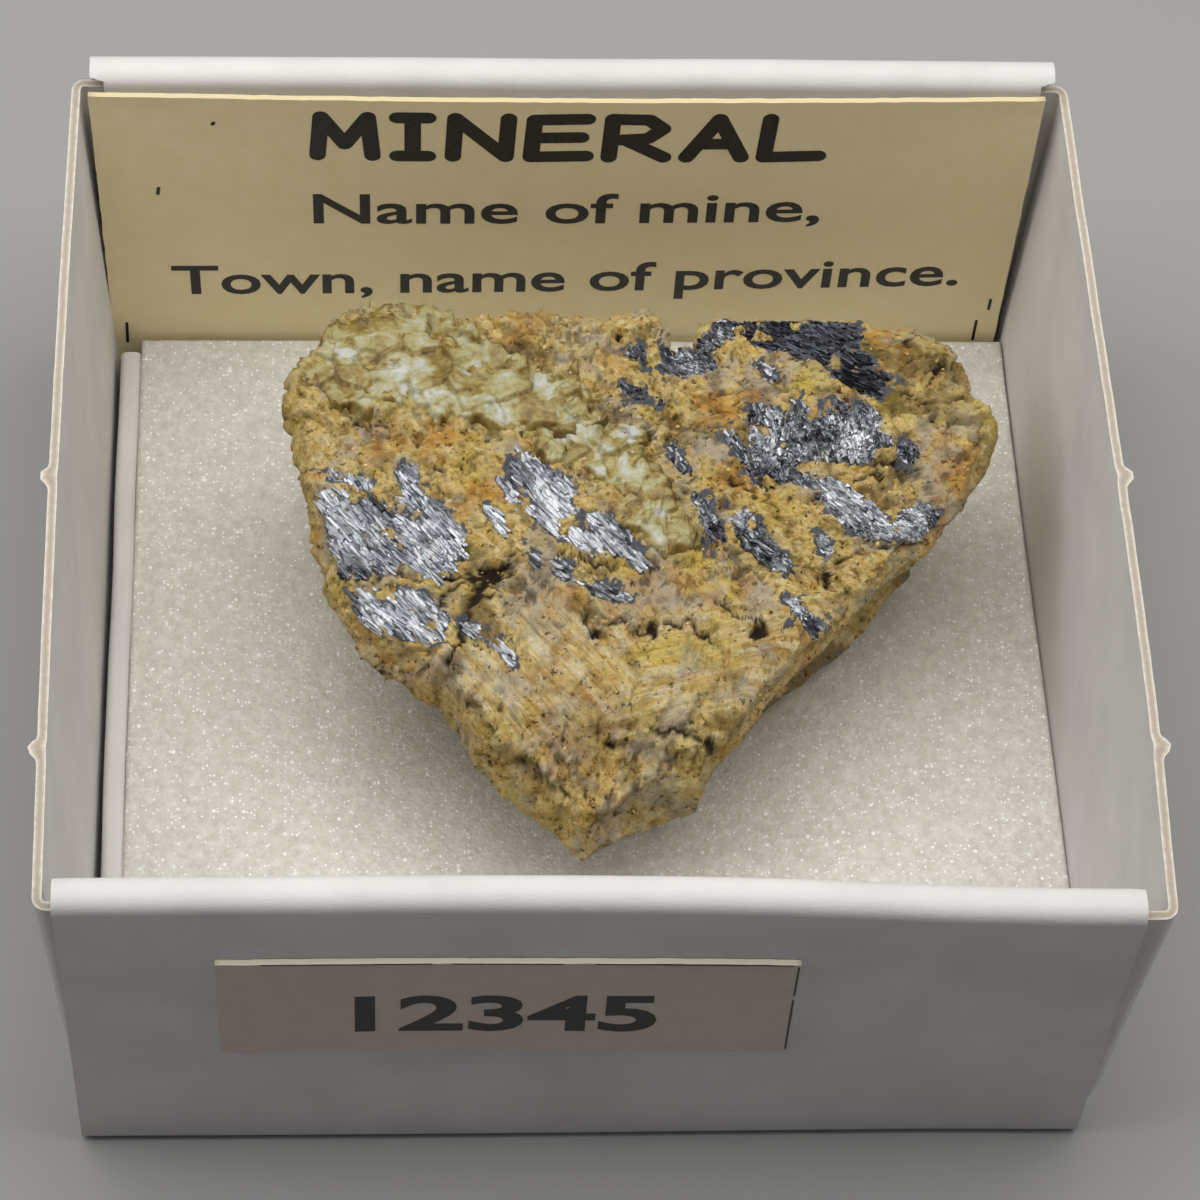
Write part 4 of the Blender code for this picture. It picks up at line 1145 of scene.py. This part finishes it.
def weathered_vein():
    """Vein rock weathered to antimony oxides: an earthy, porous yellow-ochre crust, quite matt, which
    goes orange where it holds iron and grey-brown where it is less altered. It keeps the splintery
    grain of the blades that it grew from. Grains and pores are 0.1 to 0.5 mm."""
    made, tree, shader = finish("weathered_antimony_ochre", Specular_IOR_Level=0.35)
    where = add(tree, "ShaderNodeTexCoord")
    at = where.outputs["Object"]

    def field(name):
        return add(tree, "ShaderNodeAttribute", attribute_name=name).outputs["Fac"]

    def blend(share, below, above):
        mixed = add(tree, "ShaderNodeMix", {0: share, 6: below, 7: above}, data_type="RGBA",
                    clamp_factor=True)
        return mixed.outputs[2]

    def math_node(operation, *values):
        return add(tree, "ShaderNodeMath", dict(enumerate(values)), operation=operation).outputs[0]

    coarse = add(tree, "ShaderNodeTexNoise",
                 {"Vector": at, "Scale": 1300, "Detail": 9, "Roughness": 0.72,
                  "Distortion": 0.5}).outputs["Fac"]
    fine = add(tree, "ShaderNodeTexNoise",
               {"Vector": at, "Scale": 3300, "Detail": 7, "Roughness": 0.75}).outputs["Fac"]
    push = add(tree, "ShaderNodeTexNoise", {"Vector": at, "Scale": 3000, "Detail": 4, "Roughness": 0.7})
    bent = add(tree, "ShaderNodeVectorMath", {0: push.outputs["Color"], 1: (3e-4, 3e-4, 3e-4), 2: at},
               operation="MULTIPLY_ADD")
    granule = add(tree, "ShaderNodeTexVoronoi", {"Vector": bent.outputs[0], "Scale": 3600})
    tint = add(tree, "ShaderNodeSeparateColor", {"Color": granule.outputs["Color"]}).outputs["Red"]
    crumbly = math_node("MULTIPLY_ADD", tint, 0.08, math_node("MULTIPLY_ADD", fine, 0.9, 0.01))
    stretch = add(tree, "ShaderNodeMapping", {"Vector": where.outputs["UV"], "Scale": (0.26, 2.8, 1.0)})
    splinter = add(tree, "ShaderNodeTexNoise",
                   {"Vector": stretch.outputs["Vector"], "Scale": 1.0, "Detail": 8,
                                                "Roughness": 0.75, "Distortion": 0.5}).outputs["Fac"]
    body = add(tree, "ShaderNodeValToRGB", {"Fac": coarse},
               stops=[(0.33, "#84622A"), (0.42, "#B98E3A"), (0.50, "#D4B25C"), (0.57, "#E2D092"),
                      (0.68, "#C4B7A6")])
    light = add(tree, "ShaderNodeValToRGB", {"Fac": crumbly},
                stops=[(0.38, "#4A3415"), (0.46, "#B8944C"), (0.53, "#D8BD74"), (0.64, "#F6ECC4")])
    colour = blend(0.5, body.outputs["Color"], light.outputs["Color"])
    strands = add(tree, "ShaderNodeValToRGB", {"Fac": splinter},
                  stops=[(0.36, "#7E6030"), (0.43, "#CCA65A"), (0.50, "#E4CB86"), (0.58, "#F2E7C4"),
                         (0.66, "#CFC4B6")])
    colour = blend(math_node("MULTIPLY", field("fibrous"), 0.74), colour, strands.outputs["Color"])
    colour = blend(math_node("MULTIPLY", field("grey"), math_node("ADD", fine, 0.3)), colour,
                   linear("#B9AE9E"))
    colour = blend(math_node("MULTIPLY", field("orange"), math_node("ADD", fine, 0.2)), colour,
                   linear("#C58726"))
    colour = blend(math_node("MULTIPLY", field("yellow"), math_node("ADD", fine, 0.05)), colour,
                   linear("#D9C24C"))
    colour = blend(math_node("MULTIPLY", field("fibrous"), 0.3), colour, strands.outputs["Color"])
    glassy = add(tree, "ShaderNodeValToRGB", {"Fac": coarse},
                 stops=[(0.34, "#6E5524"), (0.46, "#B09A4E"), (0.58, "#D0C68E"), (0.7, "#DAD8C8")])
    colour = blend(math_node("MULTIPLY", field("quartz"), 0.7), colour, glassy.outputs["Color"])
    colour = blend(field("dark"), colour, linear("#5A451E"))
    # Painted shade: darker where the grains meet, in the crevices that the bump lowers.
    crevice_shade = add(tree, "ShaderNodeMapRange", {0: granule.outputs["Distance"], 1: 0.5, 2: 0.75}).outputs[0]
    colour = blend(math_node("MULTIPLY", crevice_shade, 0.14), colour, linear("#3E2C12"))
    # Painted shade: dark brown where the bump's height lies lowest, as in pores.
    pore_shade = add(tree, "ShaderNodeMapRange",
               {0: math_node("MULTIPLY_ADD", coarse, 0.5, fine), 1: 0.665, 2: 0.615}).outputs[0]
    colour = blend(math_node("MULTIPLY", pore_shade,
                             math_node("SUBTRACT", 0.85, math_node("MULTIPLY", field("quartz"), 0.6))),
                   colour, linear("#37260F"))
    # Painted shade: near black in the pits, cracks, pores and low spots.
    colour = blend(field("hollow_shade"), colour, linear("#2A1B09"))
    speckled = math_node("MULTIPLY_ADD", field("metal"), 0.42, fine)
    metallic = add(tree, "ShaderNodeMapRange", {0: speckled, 1: 0.70, 2: 0.78}).outputs[0]
    colour = blend(metallic, colour, linear("#74777D"))
    tree.links.new(colour, shader.inputs["Base Color"])
    tree.links.new(math_node("MULTIPLY", metallic, 0.8), shader.inputs["Metallic"])
    matt = math_node("SUBTRACT", 0.92, math_node("MULTIPLY", metallic, 0.45))
    matt = math_node("SUBTRACT", matt, math_node("MULTIPLY", field("quartz"), 0.5))
    tree.links.new(matt, shader.inputs["Roughness"])
    height = math_node("MULTIPLY_ADD", fine, 0.6, coarse)
    height = math_node("MULTIPLY_ADD", granule.outputs["Distance"], -0.12, height)
    height = math_node("ADD", height, math_node("MULTIPLY", math_node("MULTIPLY", splinter, field("fibrous")),
                                                0.6))
    relief_node = add(tree, "ShaderNodeBump", {"Height": height, "Strength": 1.0, "Distance": 0.00032})
    tree.links.new(relief_node.outputs["Normal"], shader.inputs["Normal"])
    return made


ochre = weathered_vein()
rock = piece("vein_rock", rock_points, rock_faces, [ochre], uv=grain_uv, fields=fields)
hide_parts("matrix_rock")
print("rock:", len(rock.data.polygons) * 2, "triangles,", [round(v / MM, 1) for v in rock.dimensions])

# %% [markdown]
# ## Stibnite blades
#
# Stibnite grows as long striated blades that split lengthwise and break across. Where the rock broke
# through them they lie as sheaves of thin laths, each a little rolled, so each mirrors another part of
# the light and the patch glitters in streaks. One striped surface could suggest that. Here each lath is
# its own small solid, because only real facets flash in turn as the view moves.

# %% Stibnite laths


def stibnite(name, tones, rough, striae=0.5):
    """Antimony sulphide: opaque, lead-grey to steel-grey, metallic and bright on fresh cleavage. Fine
    ridges run along each blade. They are really about 0.02 mm apart, drawn at 0.08 mm so that they show.
    The attribute `shade` differs from blade to blade, and tarnish comes in patches of about 0.5 mm."""
    made, tree, shader = finish(name, Metallic=1.0)
    where = add(tree, "ShaderNodeTexCoord")
    shade = add(tree, "ShaderNodeAttribute", attribute_name="shade")
    tarnish = add(tree, "ShaderNodeTexNoise", {"Vector": where.outputs["Object"], "Scale": 1600, "Detail": 7,
                                               "Roughness": 0.7})
    stretch = add(tree, "ShaderNodeMapping", {"Vector": where.outputs["UV"], "Scale": (1.1, 11.0, 1.0)})
    ridges = add(tree, "ShaderNodeTexNoise", {"Vector": stretch.outputs["Vector"], "Scale": 1.0, "Detail": 5,
                                              "Roughness": 0.65})
    mixed = add(tree, "ShaderNodeMath", {0: tarnish.outputs["Fac"], 1: 0.7, 2: shade.outputs["Fac"]},
                operation="MULTIPLY_ADD")
    lined = add(tree, "ShaderNodeMath", {0: ridges.outputs["Fac"], 1: 0.55, 2: mixed.outputs[0]},
                operation="MULTIPLY_ADD")
    tone = add(tree, "ShaderNodeValToRGB", {"Fac": lined.outputs[0]},
               stops=[(0.60, tones[0]), (0.82, tones[1]), (1.0, tones[2])])
    tree.links.new(tone.outputs["Color"], shader.inputs["Base Color"])
    gloss = add(tree, "ShaderNodeMapRange", {0: lined.outputs[0], 1: 0.5, 2: 1.3, 3: rough[0], 4: rough[1]})
    tree.links.new(gloss.outputs[0], shader.inputs["Roughness"])
    bump = add(tree, "ShaderNodeBump", {"Height": ridges.outputs["Fac"], "Strength": striae,
                                        "Distance": 0.00008})
    tree.links.new(bump.outputs["Normal"], shader.inputs["Normal"])
    return made


fresh = stibnite("fresh_stibnite", ("#34363B", "#7C7F86", "#B4B7BC"), (0.5, 0.22), 0.8)
tarnished = stibnite("tarnished_stibnite", ("#202126", "#34363C", "#5A5C64"), (0.55, 0.36), 0.9)

SECTION = np.array([(-1.0, -1.0), (-0.9, 0.2), (0.0, 0.55), (0.9, 0.2), (1.0, -1.0)])   # across, up
STATIONS = np.array([-1.0, -0.35, 0.35, 1.0])


def laths(name, centre, up, direction, length, width, depth, material, rng, roll=0.2, pitch=0.07, bright=0.3):
    """A sheaf of laths: a five-sided section carried past four stations. Each lath lies along its
    direction in degrees, on its place's normal. Neighbours are rolled and pitched alike, by slow
    noise, and each a little more by chance. The ends are broken at a slant, and the ridge is off
    centre. All sizes are in millimetres."""
    count = len(centre)
    angle = np.radians(direction)
    along = unit(np.cross(np.cross(up, np.stack([np.cos(angle), np.sin(angle), 0 * angle], -1)), up))
    aside = np.cross(up, along)
    sheet = np.stack([(centre * along).sum(-1) / 2.6, (centre * aside).sum(-1) / 0.7, np.full(count, 3.5)],
                     -1)
    rolled = roll * (1.3 * value_noise(sheet, 1.0, 91) + rng.normal(0, 0.45, count))
    pitched = pitch * (1.3 * value_noise(sheet, 1.0, 92) + rng.normal(0, 0.45, count))
    up = unit(up + along * pitched[:, None] + aside * rolled[:, None])
    along = unit(along - up * (along * up).sum(-1, keepdims=True))
    aside = np.cross(up, along)
    at_end = (np.abs(STATIONS) > 0.9)[None, :, None]
    slant = rng.uniform(-0.3, 0.3, (count, 4, 5)) * width[:, None, None] * at_end * 2
    u = STATIONS[None, :, None] * length[:, None, None] / 2 + slant
    wander = rng.uniform(-0.12, 0.12, (count, 4, 1)) * width[:, None, None]
    v = SECTION[None, None, :, 0] * width[:, None, None] / 2 * rng.uniform(0.75, 1.0, (count, 4, 1)) + wander
    ridge = rng.uniform(-0.7, 0.7, (count, 1)) * width[:, None] / 2
    v[:, :, 2] += ridge
    w = SECTION[None, None, :, 1] * depth[:, None, None] * (1 + 0 * u)
    w[:, :, 1:4] += rng.normal(0, 0.10, (count, 4, 3)) * depth[:, None, None]
    points = (centre[:, None, None, :] + u[..., None] * along[:, None, None, :] +
              v[..., None] * aside[:, None, None, :] + w[..., None] * up[:, None, None, :]).reshape(-1, 3)
    walls = grid_quads(4, 5, wrap=True)
    ends = np.array([[4, 3, 2, 1, 0], [15, 16, 17, 18, 19]])
    start = np.arange(count)[:, None, None] * 20
    faces = [(walls[None, :, ::-1] + start).reshape(-1, 4), (ends[None, :, ::-1] + start).reshape(-1, 5)]
    uv = np.stack([u + rng.uniform(0, 50, (count, 1, 1)), v + rng.uniform(0, 50, (count, 1, 1))],
                  -1).reshape(-1, 2)
    wide = np.stack([centre[:, 0], centre[:, 1], 0 * centre[:, 0]], -1)
    shade = bright + 0.22 * value_noise(wide, 1.7, 93) + 0.10 * value_noise(sheet, 1.3, 94)
    shade = np.repeat(np.clip(shade + rng.normal(0, 0.09, count), 0, 0.8), 20)
    return piece(name, points, faces, [material], smooth=False, uv=uv, fields={"shade": shade})


# How each patch is broken: laths for each square millimetre, their length and width, depth, roll and pitch
# in radians, and how bright they are.
HABIT = {
    "left": (84, (0.3, 1.4), (0.08, 0.26), 0.10, 0.32, 0.13, 0.26),
    "left_low": (80, (0.3, 1.2), (0.08, 0.24), 0.10, 0.32, 0.13, 0.22),
    "centre": (76, (0.4, 1.5), (0.10, 0.30), 0.12, 0.28, 0.12, 0.36),
    "strip": (80, (0.3, 0.9), (0.10, 0.24), 0.12, 0.32, 0.12, 0.36),
    "top_middle": (90, (0.15, 0.5), (0.08, 0.2), 0.12, 0.5, 0.3, 0.12),
    "top_right": (90, (0.15, 0.5), (0.08, 0.2), 0.12, 0.5, 0.28, 0.2),
    "dull": (95, (0.15, 0.8), (0.07, 0.2), 0.12, 0.42, 0.22, 0.22),
    "right": (95, (0.12, 0.55), (0.10, 0.32), 0.12, 0.34, 0.3, 0.2),
    "right_low": (80, (0.2, 0.9), (0.10, 0.30), 0.12, 0.34, 0.18, 0.12),
    "right_tip": (80, (0.2, 0.7), (0.10, 0.28), 0.12, 0.36, 0.2, 0.2),
    "vein": (90, (0.15, 0.6), (0.08, 0.2), 0.12, 0.42, 0.22, 0.18),
    "lower_middle": (90, (0.15, 0.7), (0.08, 0.24), 0.12, 0.42, 0.22, 0.2),
    "spot": (90, (0.15, 0.5), (0.08, 0.22), 0.12, 0.42, 0.26, 0.22),
}
face_count = GRID * GRID
ring_of_point, _ = disc(GRID)
on_face = (ring_of_point.ravel() < FACE_SHARE + 0.05)
step = face_grid[1:, 1:] - face_grid[:-1, :-1]
point_area = np.pad(np.abs(step[..., 0] * step[..., 1]), ((0, 1), (0, 1)), mode="edge").ravel()
for order, (label, (node, direction, strokes)) in enumerate(PATCHES.items()):
    per_area, long, wide, depth, roll, pitch, bright = HABIT[label]
    rng = np.random.default_rng(500 + order)
    top = rock_points[:face_count]
    depth_in = patch_depth(smooth_points[:face_count], direction, strokes)
    open_ground = (depth_in > 0.0) & on_face & (fields["hollow_shade"][:face_count] < 0.6)
    candidates = np.flatnonzero(open_ground)
    area = float(point_area[candidates].sum())
    count = max(12, int(area * per_area))
    chosen = rng.choice(candidates, count, p=point_area[candidates] / area)
    length = rng.uniform(*long, count) * np.clip(0.5 + depth_in[chosen] * 1.2, 0.45, 1.15)
    width = rng.uniform(*wide, count)
    up = unit(smooth_normals[chosen] * 5 + rock_normals[chosen])
    lift = rng.uniform(-0.05, 0.07, (count, 1))
    centre = top[chosen] + up * lift + rng.normal(0, 0.04, (count, 3)) * np.array([1, 1, 0])
    angles = direction + rng.normal(0, 4 + 70 * max(pitch - 0.1, 0), count) + 6 * value_noise(centre, 2.5, 77)
    made = laths("stibnite_" + label, centre, up, angles, length, width, np.full(count, depth),
                 tarnished if label == "dull" else fresh, rng, roll, pitch, bright)
    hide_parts(node)
    print(label, "area", round(area, 1), "laths", count)

# %% [markdown]
# ## Quartz and crumbs
#
# The quartz is massive and milky, full of healed cracks, so it breaks into small flat faces at all angles,
# glassy where it is clear and stained yellow to brown along its joints. It could be a heap of separate
# crystals, but it has grown as one mass. Here it is one closed sheet for each area, which follows the
# rock's face and is broken into flats of three sizes, and sinks into the ochre at its outline. The ochre
# itself sheds loose crumbs: each is a ball of 32 triangles cut flat by random planes.

# %% Faceted grains


def ball():
    """An octahedron with each face split in four and its points pushed out to a sphere: 18 points and 32
    faces. Returns the points and the faces, which point outwards."""
    triangles = []
    for sx, sy, sz in np.ndindex(2, 2, 2):
        sign = np.array([sx, sy, sz]) * 2 - 1
        a, b, c = np.diag(sign).astype(float)
        ab, bc, ca = (unit(p) for p in (a + b, b + c, c + a))
        part = [(a, ab, ca), (ab, b, bc), (ca, bc, c), (ab, bc, ca)]
        triangles += [t if sign.prod() > 0 else t[::-1] for t in part]
    corners = np.round(np.array(triangles).reshape(-1, 3), 6)
    points, index = np.unique(corners, axis=0, return_inverse=True)
    return points, index.reshape(-1, 3)


BALL, BALL_FACES = ball()


def grains(centre, size, flat, cuts, rng):
    """Faceted grains: each is a ball stretched at random, turned at random, and cut flat by planes: a
    point beyond a plane moves back to it. `flat` is how far the planes stand off, as a share of the size."""
    count = len(centre)
    shape = BALL[None] * rng.uniform(0.7, 1.3, (count, 1, 3))
    for _ in range(cuts):
        plane = unit(rng.normal(size=(count, 1, 3)))
        beyond = np.maximum((shape * plane).sum(-1, keepdims=True) - rng.uniform(*flat, (count, 1, 1)), 0)
        shape = shape - beyond * plane
    turned, _ = np.linalg.qr(rng.normal(size=(count, 3, 3)))
    turned = turned * np.sign(np.linalg.det(turned))[:, None, None]
    points = centre[:, None] + np.einsum("nij,nkj->nki", turned, shape) * size[:, None, None]
    faces = BALL_FACES[None] + np.arange(count)[:, None, None] * len(BALL)
    return points.reshape(-1, 3), faces.reshape(-1, 3)


def vein_quartz():
    """Milky quartz: glassy but clouded by tiny bubbles, so it is part clear and part white, and stained
    yellow to brown along its cracks. `shade` runs from clear grains to stained ones."""
    made, tree, shader = finish("milky_vein_quartz", Roughness=0.24, IOR=1.544, Transmission_Weight=0.42)
    where = add(tree, "ShaderNodeTexCoord")
    shade = add(tree, "ShaderNodeAttribute", attribute_name="shade")
    cloud = add(tree, "ShaderNodeTexNoise", {"Vector": where.outputs["Object"], "Scale": 1300, "Detail": 9,
                                             "Roughness": 0.7, "Distortion": 0.3})
    mixed = add(tree, "ShaderNodeMath", {0: cloud.outputs["Fac"], 1: 0.9, 2: shade.outputs["Fac"]},
                operation="MULTIPLY_ADD")
    tone = add(tree, "ShaderNodeValToRGB", {"Fac": mixed.outputs[0]},
               stops=[(0.33, "#E4E5DE"), (0.44, "#D2CFAE"), (0.56, "#C6BB7C"), (0.72, "#A88E48"),
                      (0.90, "#765C2A")])
    tree.links.new(tone.outputs["Color"], shader.inputs["Base Color"])
    relief = add(tree, "ShaderNodeBump",
                 {"Height": cloud.outputs["Fac"], "Strength": 1.0, "Distance": 0.00013})
    tree.links.new(relief.outputs["Normal"], shader.inputs["Normal"])
    return made


quartz_finish = vein_quartz()
GLASSY = [(-9.7, 9.8, 0.7), (-7.0, 8.4, 0.8), (-7.2, 7.4, 0.4), (-2.9, 6.0, 0.5), (-0.3, 5.5, 0.5),
          (-1.4, 8.0, 0.6),
          (2.2, 5.3, 0.4), (1.8, 3.4, 0.5), (2.9, 1.4, 0.5)]


def quartz_body(name, node, strokes, seed):
    """Massive quartz over the strokes: a closed sheet whose underside lies in the rock. Its top is the
    rock's smooth face raised by flat breaks of three sizes, each with its own tilt, and it dips below the
    rock beyond the strokes, so the rock's relief bites into its outline."""
    smooth = smooth_points[:face_count].reshape(GRID, GRID, 3)
    wanted = inside(smooth, strokes) > -0.9
    rows, columns = np.flatnonzero(wanted.any(1)), np.flatnonzero(wanted.any(0))
    pick = np.ix_(np.arange(rows[0], rows[-1] + 1), np.arange(columns[0], columns[-1] + 1))

    def finer(grid):
        """Twice as many rows and columns, halfway between the old ones."""
        for _ in range(2):
            between = np.empty((2 * grid.shape[0] - 1,) + grid.shape[1:])
            between[::2], between[1::2] = grid, (grid[1:] + grid[:-1]) / 2
            grid = between.swapaxes(0, 1)
        return grid

    at = finer(smooth[pick])
    up = unit(finer(smooth_normals[:face_count].reshape(GRID, GRID, 3)[pick]))
    flat = at.reshape(-1, 3)
    inner = inside(shaken(flat, 0.45, 1.1, 207), strokes)
    large = cells(flat + 0.3 * value_noise(flat[:, [1, 2, 0]], 1.2, seed)[:, None], 1.5, seed + 1)
    small = cells(flat + 0.1 * value_noise(flat[:, [1, 2, 0]], 0.5, seed)[:, None], 0.6, seed + 2)
    rise = slow_lumps(flat) + breaks(large, 0.08, 0.2, (91, 59, 36, 43))
    rise = rise + breaks(small, 0.03, 0.10, (83, 31, 57, 79))
    rise = rise + breaks(cells(flat, 0.28, seed + 3), 0.0, 0.03, (0, 33, 51, 73))
    rise = rise + 0.24 - 0.85 * smoothstep(0.25, -0.35, inner + 0.3 * fractal(flat, 0.9, 3, seed + 4, 0.6))
    rise = rise - 0.25 * smoothstep(0.3, 0.6, fractal(flat, 1.3, 3, seed + 5, 0.6))
    top = flat + up.reshape(-1, 3) * rise[:, None]
    bottom = flat - up.reshape(-1, 3) * 1.2
    clear = smoothstep(-0.5, 0.4, inside(flat, GLASSY) + 0.3 * fractal(flat, 0.8, 3, seed + 6))
    joint = smoothstep(0.16, 0.02, large[1] - large[0]) * 0.12
    joint = joint + smoothstep(0.1, 0.0, small[1] - small[0]) * 0.04
    stained = smoothstep(0.05, 0.5, fractal(flat, 1.1, 4, seed + 8, 0.7))
    shade = 0.12 + 0.07 * np.sin(large[3] * 57) + 0.05 * np.sin(small[3] * 77)
    shade = shade + 0.16 * value_noise(flat, 2.2, seed + 7) + 0.26 * stained - 0.24 * clear + joint
    shade = 0.7 * (shade + 0.3 * smoothstep(0.35, -0.2, inner))      # a ramp's places end at 1
    made = piece(name, *slab(top.reshape(at.shape), bottom.reshape(at.shape)), [quartz_finish],
                 fields={"shade": np.concatenate([shade, shade])})
    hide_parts(node)
    return made


quartz_made = [quartz_body("quartz_mass_broken", "quartz_mass", QUARTZ_MASS, 701),
               quartz_body("quartz_vein_broken", "quartz_vein", QUARTZ_VEIN, 731)]
print("quartz faces:", [len(made.data.polygons) for made in quartz_made])

# %% Crumbs of ochre


def crumb_crust():
    """Loose grains of the same antimony ochre, each of one tone from pale cream to rust by `shade`."""
    made, tree, shader = finish("ochre_crumbs", Roughness=0.9, Specular_IOR_Level=0.3)
    shade = add(tree, "ShaderNodeAttribute", attribute_name="shade")
    where = add(tree, "ShaderNodeTexCoord")
    cloud = add(tree, "ShaderNodeTexNoise", {"Vector": where.outputs["Object"], "Scale": 3300, "Detail": 6})
    mixed = add(tree, "ShaderNodeMath", {0: cloud.outputs["Fac"], 1: 0.5, 2: shade.outputs["Fac"]},
                operation="MULTIPLY_ADD")
    tone = add(tree, "ShaderNodeValToRGB", {"Fac": mixed.outputs[0]},
               stops=[(0.30, "#5E4620"), (0.45, "#A3803F"), (0.62, "#BFA15E"), (0.80, "#CDB988"),
                      (1.0, "#BDB09A")])
    tree.links.new(tone.outputs["Color"], shader.inputs["Base Color"])
    relief = add(tree, "ShaderNodeBump",
                 {"Height": cloud.outputs["Fac"], "Strength": 0.8, "Distance": 0.0001})
    tree.links.new(relief.outputs["Normal"], shader.inputs["Normal"])
    return made


CRUMBS = 2200
rng = np.random.default_rng(801)
bare = 1 - fields["metal"] - 0.7 * fields["quartz"] - 0.5 * fields["hollow_shade"] - 0.4 * nose
bare = np.clip(bare, 0, 1)[:face_count]
weight = bare * point_area * np.maximum(value_noise(smooth_points[:face_count], 1.5, 811) + 0.6, 0.05)
chosen = rng.choice(face_count, CRUMBS, p=weight / weight.sum())
size = rng.uniform(0, 1, CRUMBS) ** 2 * 0.09 + 0.03
points, faces = grains(rock_points[chosen] - rock_normals[chosen] * size[:, None] * 0.35, size, (0.3, 0.8), 7,
                       rng)
crumbs = piece("ochre_crumbs", points, [faces], [crumb_crust()], smooth=False,
               fields={"shade": np.repeat(np.clip(rng.normal(0.33, 0.12, CRUMBS), 0, 0.8), len(BALL))})
print("crumbs:", len(crumbs.data.polygons), "faces")
